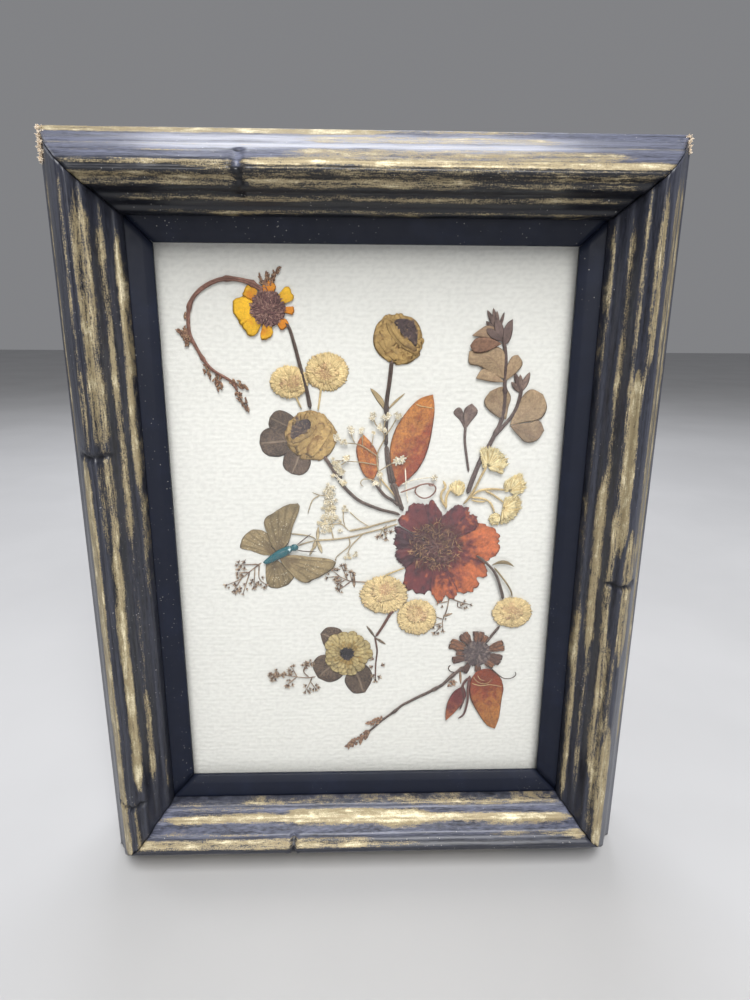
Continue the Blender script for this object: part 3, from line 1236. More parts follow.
class AddArchedStem(Operator):
    """Add the arched stem with its buds"""
    bl_idname = "pressed.arched_stem"
    bl_label = "Arched Stem"

    def execute(self, context):
        colours = context.scene.pressed_colours
        bud = bud_scale()
        piece = Piece("arched_bud_stem")
        arch = [(-28.6, 70.6), (-31, 72.1), (-33.2, 73.1), (-38.2, 73.8), (-42.7, 72.8), (-47.1, 70),
                (-49.5, 66.1), (-49.9, 59.7), (-47.9, 54.7), (-45.3, 50.4), (-42.9, 48.3), (-38.8, 45.8),
                (-37.1, 42.8)]
        piece.stem(arch, 1.35, 0.8, knots=(0.07, 0.2, 0.46, 0.74), sides=12)
        sprays = [((-46.3, 50.6), (-44.6, 47), 1.9, 2), ((-42.6, 47.8), (-42.3, 43.1), 2.5, 3),
                  ((-39.1, 46.1), (-33.8, 43.7), 2.1, 3), ((-37.3, 43), (-34.2, 37.2), 2.3, 4),
                  ((-50, 56.6), (-51.4, 61), 1.9, 4), ((-50.6, 57.8), (-53.3, 60.2), 1.3, 3),
                  ((-50.8, 59.6), (-50.7, 55.5), 1.5, 3), ((-28.3, 71.2), (-29.9, 74.8), 1, 2),
                  ((-28, 71.2), (-27.8, 75.7), 1.1, 3), ((-27.6, 71.6), (-24, 77.2), 1.5, 4)]
        for base, tip, width, scales in sprays:
            bud_cluster(piece, base, tip, width, scales * 8)
        piece.petal((-50.6, 65), (-50.9, 62.8), 0.9, lift=0.4, cells=(3, 6), blunt=1.5, finish=1, tone=0.6)
        piece.place([red_stem(colours), bud], "red_brown_stem", "arched_stem")
        return {"FINISHED"}


class AddEverlastings(Operator):
    """Add the five cream everlasting blooms"""
    bl_idname = "pressed.everlastings"
    bl_label = "Everlasting Blooms"

    def execute(self, context):
        colours = context.scene.pressed_colours
        cream = tissue("cream_bract_finish", colours.cream_petal, colours.cream_heart, linear(160, 122, 74),
                       roughness=0.7, blotches=0.25, pleats=0.15, pleat_count=9, edge=0.1)
        stalk = straw_stalk()
        blooms = [("pompon_1", (-22.4, 45.8), 5.6, 4.8, BETWEEN, (-21.6, 45.2),
                   [(-20.8, 42.6), (-19.8, 39.8), (-18.9, 37.9)]),
                  ("pompon_2", (-11.6, 48.7), 6.3, 5.6, UNDER, (-12.2, 48),
                   [(-13.2, 45), (-13.9, 40.3), (-14.4, 37.3)]),
                  ("pompon_3", (5.3, -20.1), 7.6, 6.5, BETWEEN, (5.9, -18.2),
                   [(5, -15), (6.2, -13.4), (12, -11)]),
                  ("pompon_4", (15.9, -27.9), 6.5, 6.2, BETWEEN, (15.9, -25.6), None),
                  ("pompon_5", (46.3, -26.4), 6.5, 5.4, BETWEEN, (46.2, -25.6), None)]
        for node_name, middle, across, up, lift, heart, stem in blooms:
            piece = Piece(node_name.replace("pompon", "everlasting"))
            everlasting(piece, middle, across, up, lift, heart)
            if stem:
                piece.stem(stem, 0.65, 0.5, lift=lift * 0.7, finish=1)
            piece.place([cream, stalk], "cream_pompon", node_name)
        return {"FINISHED"}


class AddBudFlowers(Operator):
    """Add the two wrapped bud flowers with their leaves and stems"""
    bl_idname = "pressed.bud_flowers"
    bl_label = "Bud Flowers"

    def execute(self, context):
        colours = context.scene.pressed_colours
        petal = tissue("bud_petal_finish", colours.bud_petal, colours.bud_heart, linear(116, 86, 50),
                       blotches=0.3, pleats=0.25, pleat_count=9, edge=0.45)
        heart = tissue("bud_heart_finish", colours.bud_heart, linear(120, 100, 84), linear(44, 38, 42))
        leaf = brown_leaf(colours)
        left = Piece("left_wrapped_bud")
        wrapped_bud(left, [(-17, 37.7), (-13, 36.4), (-9.8, 33.1), (-8.9, 29.6), (-10.6, 25.3), (-14, 23),
                           (-18.7, 23.6), (-22.8, 26.2), (-24.1, 30.9), (-21.6, 35.5)], (-19.6, 32.4),
                    [(-22, 29.5), (-22.2, 31.8), (-20.4, 34.4), (-17.3, 35.2), (-16.4, 33.7), (-17, 32),
                     (-18.9, 31)], [(-22.4, 28.6), (-19.6, 29.4), (-16.8, 31), (-15.4, 33.6)])
        left.place([petal, heart], "tan_bud_petal", "left_bud_flower")
        top = Piece("top_wrapped_bud")
        wrapped_bud(top, [(6.4, 64.4), (10.5, 64.3), (13.6, 63), (15.3, 59.6), (15, 54.4), (11.7, 51.1),
                          (7, 51.4), (3.3, 53.6), (1.6, 57.2), (2.7, 62)], (10.9, 60.2),
                    [(7.6, 62.8), (9.4, 63.5), (11.9, 63.1), (13.5, 61.2), (14.1, 58.6), (13.7, 55.8),
                     (12.4, 57.1), (10.9, 58.2), (8.8, 60.2)],
                    [(6.6, 62.4), (7.8, 59.8), (10, 57.2), (12.6, 55.6), (14, 54.8)])
        top.place([petal, heart], "tan_bud_petal", "top_bud_flower")
        leaves = Piece("round_brown_leaves")
        leaves.petals((((-19.5, 31.2), (-28.4, 35.6), 7.2), ((-19.5, 29), (-31.7, 28), 9),
                       ((-18.6, 28), (-22.4, 18.7), 8.2)), lift=UNDER, cells=(14, 22), thick=0.18, belly=0.6,
                      narrow=0.3, blunt=2.3, crinkle=0.12, lump=2, rib=0.08, frill=0.05)
        leaves.place([leaf], "grey_brown_leaf", "left_bud_leaves")
        stem = Piece("left_bud_stalk")
        stem.stem([(-12.9, 24.4), (-9.8, 19.5), (-7.6, 15.7), (-5.2, 13), (-2.5, 10.6), (0.8, 9), (4.5, 7.6),
                   (7.8, 6.8), (10.2, 6)], 1.1, 0.9, knots=(0.22,))
        stem.stem([(-8.2, 20.6), (-7.6, 16.4)], 0.8, 0.5)
        stem.place([dark_stem(colours)], "dark_stem", "left_bud_stem")
        tall = Piece("top_bud_stalk")
        tall.stem([(7, 52.2), (6.3, 45.5), (5.6, 40), (5.5, 30.9), (5.6, 27.1)], 1.2, 1.2, knots=(0.56,))
        tall.stem([(5.6, 27.6), (6.2, 23), (7, 19), (7.8, 15.5)], 1.3, 2.3, flat=0.5)
        tall.stem([(7.6, 16.4), (8.7, 12.8), (9.7, 10.1), (11, 7.1)], 2.2, 1.3, flat=0.5)
        for base, tip, width, bend in (((5.5, 37.4), (0.8, 44.1), 1.7, -0.4),
                ((5.7, 37.6), (11, 42.7), 0.7, 0.2)):
            tall.petal(base, tip, width, lift=UNDER, bend=bend, cells=(5, 14), belly=0.5, blunt=1.5, rib=0.08,
                       finish=1)
        bract = tissue("green_bract_finish", linear(170, 150, 114), linear(132, 112, 84), rib=0.6, edge=0.3)
        tall.place([dark_stem(colours), bract], "dark_stem", "top_bud_stem")
        return {"FINISHED"}


# ---- middle and right

class AddLanceLeaves(Operator):
    """Add the orange and red lance leaves"""
    bl_idname = "pressed.lance_leaves"
    bl_label = "Lance Leaves"

    def execute(self, context):
        colours = context.scene.pressed_colours
        orange = tissue("orange_leaf_finish", colours.orange_leaf, colours.rust_leaf, linear(92, 44, 38),
                        roughness=0.5, blotches=0.5, rib=0.3, veins=0.2, vein_count=14, edge=0.3)
        red = tissue("red_leaf_finish", linear(104, 42, 42), linear(158, 92, 56), linear(58, 28, 32),
                     roughness=0.5, blotches=0.45, rib=0.4, veins=0.3, vein_count=10, edge=0.3)
        straw = straw_stalk()
        dark = tissue("dark_strip_finish", linear(96, 62, 58), linear(70, 48, 48), linear(44, 30, 32),
                      blotches=0.5)
        large = Piece("large_lance_leaf")
        large.leaf([(9.4, 14.8), (8, 17), (7.2, 21), (6.7, 26.5), (8.3, 32.5), (11.8, 37.9), (15.2, 41.2),
                    (19, 42.4), (19.6, 37.9), (18.9, 31), (17.6, 25), (15.1, 20.1), (11.6, 16.5)], 7, BETWEEN,
                   cells=(18, 40), curl=0.12, crinkle=0.14, rib=0.08,
                   tone=lambda s, v, x, y: 0.9 - 0.85 * v + 0.3 * s)
        for points in (((13.9, 39.8), (15.4, 39.1), (17.8, 38.7), (19.5, 38.4)),
                       ((8.3, 24.4), (10.2, 23.2), (12.4, 24.6))):
            large.stem(points, 0.26, 0.2, lift=BETWEEN + 0.3, sides=5, step=0.6, finish=1)
        large.place([orange, straw], "orange_leaf", "large_orange_leaf")
        small = Piece("small_lance_leaf")
        small.leaf([(1.6, 16.5), (-1.4, 19.2), (-3.2, 25), (-2.8, 28.4), (-1.1, 30.7), (1.2, 28.2), (3, 25),
                    (3.3, 20.4)], 4, BETWEEN, cells=(12, 26), curl=0.1, crinkle=0.1, rib=0.08, tone=0.45)
        small.stem([(1.6, 17.6), (3.7, 14.1), (5.6, 11.9), (7.8, 10.6), (9.9, 8.6)], 0.95, finish=1,
                   lift=0.35)
        small.stem([(3.5, 19), (4.5, 16.8), (7, 13.8), (9.1, 11.1)], 0.5, finish=2, lift=0.5)
        small.place([orange, dark_stem(colours), straw], "orange_leaf", "small_orange_leaf")
        lower = Piece("lower_lance_leaf")
        lower.leaf([(36, -47), (34.2, -50), (33.8, -54), (34.6, -58), (37.7, -63.7), (40.4, -67.4),
                    (43.1, -68.9), (44.2, -64.7), (44.8, -57), (45.1, -53.3), (43.6, -49.2), (40, -46.3)], 6,
                   BETWEEN, cells=(18, 40), curl=0.1, crinkle=0.14, rib=0.06,
                   tone=lambda s, v, x, y: 1.3 - 1.5 * v)
        lower.stem([(34.4, -51.4), (37.4, -52.3), (40.6, -52), (44.6, -52.8)], 0.26, 0.2, lift=BETWEEN + 0.3,
                   sides=5, step=0.6, finish=1)
        for points in ([(34.8, -48.8), (36, -50.6), (38.2, -51.6), (40.2, -51), (41, -49.6)],
                       [(36.2, -48.4), (37.2, -50), (38.8, -50.4)]):
            lower.stem(points, 0.24, 0.18, lift=BETWEEN + 0.4, sides=5, step=0.5, finish=1, tone=1)
        lower.place([orange, straw], "orange_leaf", "lower_orange_leaf")
        slim = Piece("small_red_lance_leaf")
        slim.leaf([(31.8, -52.2), (28.9, -54), (26.9, -57.6), (26.2, -62), (26.3, -65.2), (28.6, -62.8),
                   (31.4, -59.2), (32.8, -55.6)], 4, OVER, cells=(10, 22), curl=0.1, crinkle=0.12,
                  tone=lambda s, v, x, y: 1.4 * v - 0.55)
        slim.stem([(33.7, -48.3), (33.3, -53.3), (33.3, -58), (32.3, -62.7), (30.3, -64.5)], 1, 0.6,
                  lift=OVER, flat=0.3, finish=1)
        slim.stem([(33.4, -49), (31.4, -52.3), (32, -57), (30.8, -61.3)], 1, 0.6, lift=OVER, flat=0.3,
                  finish=1)
        slim.place([red, dark], "orange_leaf", "small_red_leaf")
        return {"FINISHED"}


class AddRightSprig(Operator):
    """Add the heart leaf and the leafy sprig at the right"""
    bl_idname = "pressed.right_sprig"
    bl_label = "Right Sprig"

    def execute(self, context):
        colours = context.scene.pressed_colours
        mauve = tissue("mauve_leaf_finish", colours.mauve_leaf, linear(136, 116, 106), linear(68, 56, 58),
                       blotches=0.5, rib=0.4, veins=0.3, edge=0.4)
        tan = tissue("tan_leaf_finish", colours.tan_leaf, linear(146, 122, 100), linear(106, 86, 70),
                     blotches=0.4, rib=-0.8, veins=0.35, vein_count=7, edge=0.3)
        heart = Piece("heart_leaf_pressed")
        heart.leaf([(28.8, 32), (27.2, 34.8), (25.2, 37), (26.4, 38.6), (27.4, 38.4), (28.2, 36.8)], 4, UNDER,
                   cells=(8, 14), rib=0.05, tone=0.3)
        heart.leaf([(28.8, 32), (28.2, 35), (28.4, 38.2), (30.5, 39.8), (32.4, 37.5), (30.6, 34.6)], 3,
                   UNDER + 0.1, cells=(8, 14), rib=0.05, tone=0.5)
        heart.stem([(28.9, 33.4), (28.9, 28.8), (29.7, 23.6), (30.5, 19.2)], 0.8, 0.7)
        heart.place([mauve], "mauve_leaf", "heart_leaf")

        stalk = Piece("right_sprig_stalk")
        stalk.stem([(36.8, 61.4), (38.3, 58.5), (39.6, 53.8), (39.8, 45.8), (40, 40), (39.3, 34.6),
                    (36.3, 27.8), (34.1, 23.8), (31.6, 17), (30.3, 12.6)], 0.9, 1.5, knots=(0.36, 0.6),
                   sides=10)
        stalk.stem([(44.9, 44.2), (43.9, 39.4), (42.3, 36), (40.4, 33.6), (38.3, 31)], 1, 1.1)
        for base, tip, width in (((36.8, 60.6), (33.6, 66), 1.5), ((36.8, 60.6), (35.3, 66.6), 1.4),
                                 ((36.9, 60.8), (36.4, 65.8), 1.2), ((36.4, 60.4), (33.4, 63), 1.3),
                                 ((37.2, 60.8), (38.5, 65.5), 1), ((36.6, 61), (36, 64.8), 1.1),
                                 ((44.6, 43.4), (42.4, 48.9), 1.6), ((44.7, 43.4), (44.1, 48.2), 1.5),
                                 ((44.7, 43.2), (46.9, 48.9), 1.9), ((44.6, 43), (41.6, 46.1), 1.6)):
            stalk.petal(base, tip, width, lift=(UNDER + 0.1, UNDER + 0.4), cells=(5, 12), belly=0.5,
                        blunt=1.5, rib=0.08, crinkle=0.12, lump=1.2, finish=0, tone=stalk.dice.random())
        stalk.place([mauve], "mauve_leaf", "right_sprig_stem")

        top = Piece("sprig_top_leaves")
        top.leaf([(38.4, 57.8), (35.8, 57.9), (32, 58.6), (29.6, 59), (31.6, 60.6), (33.9, 61.8),
                  (36.5, 60.9)], 3, BETWEEN, cells=(10, 16), rib=0.06, crinkle=0.12, tone=0.8)
        top.leaf([(38.6, 56.4), (38.3, 59.8), (39.4, 62.4), (41, 63.6), (41.1, 60), (40.2, 57.2)], 3, BETWEEN,
                 cells=(8, 16), rib=0.06, finish=1)
        top.petals((((38.2, 58.2), (36.2, 63.6), 2.6), ((38.4, 57.6), (33.6, 60.8), 2.4)), lift=BETWEEN + 0.2,
                   cells=(8, 14), belly=0.5, blunt=1.8, rib=0.06, finish=1)
        top.place([tan, mauve], "tan_leaf", "sprig_leaves_top")
        curled = Piece("sprig_round_leaf")
        curled.leaf([(38.2, 56.8), (34, 54.6), (30.6, 54.3), (29.1, 56.2), (30.8, 58.3), (34.6, 58.4)], 3,
                    OVER, cells=(10, 16), crinkle=0.1, tone=0.1)
        russet = tissue("russet_leaf_finish", linear(138, 104, 84), linear(112, 84, 72), linear(74, 54, 50),
                        blotches=0.5)
        curled.place([russet], "mauve_leaf", "sprig_leaf_round")
        middle = Piece("sprig_middle_leaves")
        middle.leaf([(39.8, 46.9), (36.2, 48), (32.2, 50.4), (29.1, 51.2), (29, 54.6), (32.7, 55.8),
                     (38, 55.6), (40.2, 51.5)], 4, BETWEEN, cells=(14, 24), rib=0.08, crinkle=0.14, tone=0.2)
        middle.leaf([(39.7, 46.2), (39.9, 50), (41.3, 53.2), (43.1, 53.7), (44.6, 51.3), (42.9, 48.7)], 3,
                    BETWEEN + 0.1, cells=(10, 16), rib=0.06, crinkle=0.1, tone=0.3)
        middle.leaf([(39.6, 46), (36.2, 46), (31.2, 47), (33.2, 49.8), (36.8, 48.4)], 2, BETWEEN + 0.05,
                    cells=(8, 18), rib=0.06, crinkle=0.1, tone=0.4)
        middle.place([tan], "tan_leaf", "sprig_leaves_middle")
        centre = Piece("sprig_centre_leaf")
        centre.leaf([(40.8, 35.2), (38.2, 35.9), (35, 38.3), (34, 40.7), (35.6, 43.4), (39.3, 44.7),
                     (41.7, 42), (41.2, 38.5)], 4, BETWEEN, cells=(14, 22), rib=0.08, crinkle=0.14, tone=0.35)
        centre.place([tan], "tan_leaf", "sprig_leaf_centre")
        right = Piece("sprig_right_leaves")
        right.leaf([(41.9, 33.4), (42.9, 36.7), (44.8, 41.5), (47.6, 44), (51.2, 42.5), (52.6, 38.6),
                    (50.8, 35.2), (46, 34.3)], 4, BETWEEN, cells=(14, 22), rib=0.08, crinkle=0.14, tone=0.15)
        right.leaf([(41.9, 33.3), (44.2, 33.9), (47.9, 34.4), (50.6, 34.9), (52.2, 32), (50.2, 29),
                    (47, 28.4), (44.5, 30.5)], 4, BETWEEN + 0.3, cells=(14, 20), rib=0.08, crinkle=0.12,
                   tone=0.55, shade=0.1)
        right.place([tan], "tan_leaf", "sprig_leaves_right")
        return {"FINISHED"}


class AddCreamFlorets(Operator):
    """Add the cream florets on their looping stalks"""
    bl_idname = "pressed.cream_florets"
    bl_label = "Cream Florets"

    def execute(self, context):
        colours = context.scene.pressed_colours
        cream = tissue("pale_floret_finish", colours.pale_floret, linear(206, 182, 128), linear(168, 140, 92),
                       roughness=0.75, blotches=0.3, edge=0.1)
        stalk = straw_stalk()
        finishes = [cream, stalk]

        upper = Piece("upper_cream_floret")
        ray_fan(upper, (36, 21.2), [(34.4, 20.8), (33.6, 24.1), (33.3, 26.9), (35.4, 27.5), (38, 27.4),
                (40.2, 26), (41.4, 24.6), (42.6, 22.2), (41.2, 20.6), (40.8, 18.8), (38.9, 19.5), (37, 19.6)],
                96, 0.42, OVER)
        upper.stem([(35.8, 21.6), (34.9, 19.8), (33.7, 17.3), (32.4, 14.4), (30.5, 11.2), (28.9, 9.4)], 0.75,
                   0.7, lift=0.9, finish=1)
        upper.place(finishes, "cream_floret", "cream_floret_upper")

        cluster = Piece("cream_floret_fan")
        ray_fan(cluster, (43, 13.4), [(41.4, 13.4), (41.2, 16), (42.6, 17.8), (43.7, 18.2), (45, 19),
                (46.8, 19.2), (47.6, 17.3), (48.6, 15.4), (47.9, 13.6), (46.8, 12.6), (44.6, 12.2)], 80, 0.38,
                BETWEEN)
        ray_fan(cluster, (41.2, 8), [(42, 11.9), (43.6, 12), (45.3, 12.8), (46.8, 11.7), (47.5, 9.2),
                (46.8, 6.8), (45.3, 4.6), (43, 3.1), (40.6, 2.4)], 96, 0.34, BETWEEN + 0.06)
        ray_fan(cluster, (40.8, 5.9), [(38.8, 6.7), (37.3, 5.6), (37, 3.8), (38.4, 2.5), (40.4, 2.5)], 40,
                0.4, BETWEEN)
        cluster.stems([([(30.5, 10.9), (33.2, 13.3), (35.8, 14), (38.4, 14.1), (42, 13.8)], 0.8),
                       ([(35.4, 13.7), (37.9, 12.5), (42, 9.6)], 0.7),
                       ([(31.3, 11.5), (34.2, 11.3), (36.8, 10.4), (37.9, 9.1), (39, 6.4)], 0.7),
                       ([(31.3, 10.8), (33.7, 10.2), (36.3, 10.2)], 0.6)], 0.8, lift=BETWEEN * 0.7, finish=1)
        cluster.place(finishes, "cream_floret", "cream_floret_cluster")

        bud = Piece("cream_floret_bud")
        ray_fan(bud, (27, 12), [(24.4, 14.8), (25.2, 16.3), (27.1, 17.2), (28.9, 16.8), (29.6, 15.4),
                                (29.2, 13)], 44, 0.45, OVER)
        bud.stem([(26.8, 12.4), (25.4, 14.4), (23.9, 12), (23.9, 7.8)], 0.8, lift=0.9, finish=1)
        bud.stem([(22.6, 17), (23.6, 14.9), (22.6, 13.6), (22.2, 12), (22.8, 10.4), (23.7, 8.6)], 0.75,
                 lift=0.9, finish=1)
        bud.place(finishes, "cream_floret", "cream_bud")
        return {"FINISHED"}


class AddTendril(Operator):
    """Add the looped tendril and the threads beside it"""
    bl_idname = "pressed.tendril"
    bl_label = "Tendril"

    def execute(self, context):
        colours = context.scene.pressed_colours
        white = white_petal(colours)
        piece = Piece("looped_tendril")
        piece.stem([(9.9, 13.2), (13.7, 14.6), (16.4, 15.7), (18.9, 15.9), (20.5, 14.9), (20.3, 13.3),
                    (18.7, 11.8), (16.8, 11.5), (15.1, 12.4), (14.4, 13.6), (14.8, 14.8), (16.1, 15.6)], 0.5,
                   0.4, lift=OVER, sides=6, step=0.5)
        piece.stem([(18.2, 15.9), (19, 15.3), (19.9, 15.5), (19.6, 16.2)], 0.4, 0.3, lift=OVER + 0.1, sides=6,
                   step=0.4)
        piece.stem([(9.9, 15.5), (13.2, 16.9), (16.4, 17.6), (19.4, 17.8)], 0.4, 0.3, lift=OVER, sides=6,
                   finish=1)
        piece.stem([(11.3, 20.8), (11.8, 13.6), (12.4, 9.8)], 0.4, 0.3, lift=OVER, sides=6, finish=1)
        floret(piece, (20, 17.8), 1.1, OVER, finish=1)
        piece.place([red_stem(colours), white], "red_brown_stem", "tendril_loop")
        return {"FINISHED"}


# ---- the red flower

def red_tone(s, v, x, y, base):
    """How coral a red petal is at a place: darker at its edges and its foot, and blotched."""
    tone = base * (0.35 + 0.8 * v) - 0.7 * abs(s) ** 4 - 0.5 * (1 - v)
    tone += (0.5 - 0.35 * base) * ripple(x, y, base, 3.4)
    return tone + (0.5 - 0.2 * base) * ripple(x, y, base + 2, 1.2)


class AddRedFlower(Operator):
    """Add the large red flower, its threads and its stem"""
    bl_idname = "pressed.red_flower"
    bl_label = "Red Flower"

    def execute(self, context):
        colours = context.scene.pressed_colours
        red = tissue("red_petal_finish", colours.maroon_petal, colours.coral_petal, linear(64, 36, 46),
                     roughness=0.6, blotches=0.3, pleats=0.2, pleat_count=10, edge=0.2)
        gold = tissue("gold_thread_finish", colours.gold_fibre, colours.dark_fibre, linear(60, 40, 34),
                      blotches=0.3)
        dark = tissue("dark_thread_finish", colours.dark_fibre, linear(150, 112, 104), linear(44, 26, 30),
                      blotches=0.4)
        green = tissue("green_stem_finish", colours.green_stem, linear(168, 150, 112), linear(92, 78, 56),
                       pleats=0.4, pleat_count=5)
        heart = (21.3, -4)
        under = [([(16.8, 8.8), (18.3, 9.3), (19.7, 10.5), (20.9, 9.4), (22.3, 7.2), (23.8, 5)], 0.05),
                 ([(33.4, 4), (36.4, 2.5), (38.3, 2.1), (39.9, 0.8), (40.9, -0.8), (41.1, -5.2), (40.2, -6.8),
                   (38.6, -8.4), (36.6, -10.4)], 0.95),
                 ([(20.6, -19.4), (19.1, -19.2), (18.1, -20), (15.9, -20), (14.5, -18.9), (12.9, -18.8),
                   (11.3, -17.1), (11.7, -15.2), (12, -12.2), (11.6, -9.6)], 0.1),
                 ([(9.6, -5.2), (8.5, -3.6), (8.3, -2.2), (8.9, -0.6), (8.5, 1), (8.7, 2.2), (10.4, 2)],
                  -0.5)]
        over = [([(10.6, 2.4), (9.5, 4), (9.9, 5.4), (11.3, 6.2), (12.4, 7.6), (12.9, 9.1), (14.5, 9.8),
                  (16.2, 9.8), (17.6, 8.8), (17.9, 7)], 0.15),
                ([(22.6, 4.4), (23.2, 5.8), (25.1, 7.6), (27, 9.1), (28.3, 9), (29.4, 8.5), (30.6, 8.4),
                  (30.6, 6)], -0.1),
                ([(28.8, 6.8), (30.9, 8.6), (31.1, 6.4), (32.4, 5.9), (33.7, 5.4), (34.1, 3.2), (33.4, 1.2)],
                 0.35), ([(35.4, -9), (36.7, -10.2), (37.5, -11.9), (37.9, -13.2), (37.1, -14.5),
                          (35.6, -14.4), (34.4, -14.3), (34.8, -15.7), (35.6, -17.2), (34, -18),
                          (32.9, -19.5), (30.5, -19.7), (28.1, -19.4), (27, -18)], 0.85),
                ([(28.6, -18.4), (28.1, -20.7), (26.4, -21.5), (24.8, -20.6), (23.7, -22.3), (22.4, -22.5),
                  (20.8, -20.9), (19.9, -18.6)], 0.65),
                ([(11.8, -11.2), (10.5, -9.9), (9.1, -8.4), (8.6, -6.5), (9.7, -4.6)], -0.4)]
        for name, node_name, rims, lift in (("red_petals_behind", "red_petals_lower", under, UNDER + 0.05),
                ("red_petals_front", "red_petals_upper", over, BETWEEN - 0.05)):
            piece = Piece(name)
            for rim, tone in rims:
                piece.fan(heart, rim, (lift + 0.2, lift), cells=(28, 32), ragged=0.06, pleats=4, pleat=0.06,
                          crinkle=0.26, lump=1.8, tone=partial(red_tone, base=tone))
            piece.place([red], "red_petal", node_name)
        centre = Piece("red_flower_threads")
        fibre_disc(centre, (21, -3.8), 6.2, 300, BETWEEN + 0.25, finish=1, reach=1.8, height=0.1, width=0.3)
        for index in range(460):
            angle = centre.vary(0, math.tau)
            points = [Vector((21, -3.8)) + turned(angle, 7.4 * math.sqrt(centre.dice.random()))]
            bend = angle + centre.vary(-1.3, 1.3)
            for _ in range(3):
                bend += centre.vary(-1, 1)
                points.append(points[-1] + turned(bend, centre.vary(0.5, 1.2)))
            rise = centre.vary(1.05, 1.45)
            centre.stem(points, 0.22, 0.14, lift=(rise, rise - 0.2), sides=4, step=0.7,
                        finish=int(index % 3 > 0), tone=centre.vary(-0.7, 0.5))
        centre.place([gold, dark], "flower_fibre", "red_flower_centre")
        stem = Piece("red_flower_stalk")
        stem.stem([(33.5, -6.8), (35.4, -7.9), (37.5, -9.8), (39.4, -11.9), (40.8, -14.4), (42.6, -19.8),
                   (42.9, -21.8)], 0.7, 1, lift=OVER, finish=1)
        stem.petal((39, -10.2), (45.9, -10.8), 1.2, bend=1.3, lift=OVER, cells=(4, 16), belly=0.5, blunt=1.6)
        stem.stem([(39.4, -10.7), (41.8, -13.6), (44, -16.5), (45.4, -19), (45.9, -21.1)], 0.6, 0.5,
                  lift=OVER)
        stem.place([green, dark_stem(colours)], "green_brown_stem", "red_flower_stem")
        return {"FINISHED"}


# ---- butterfly

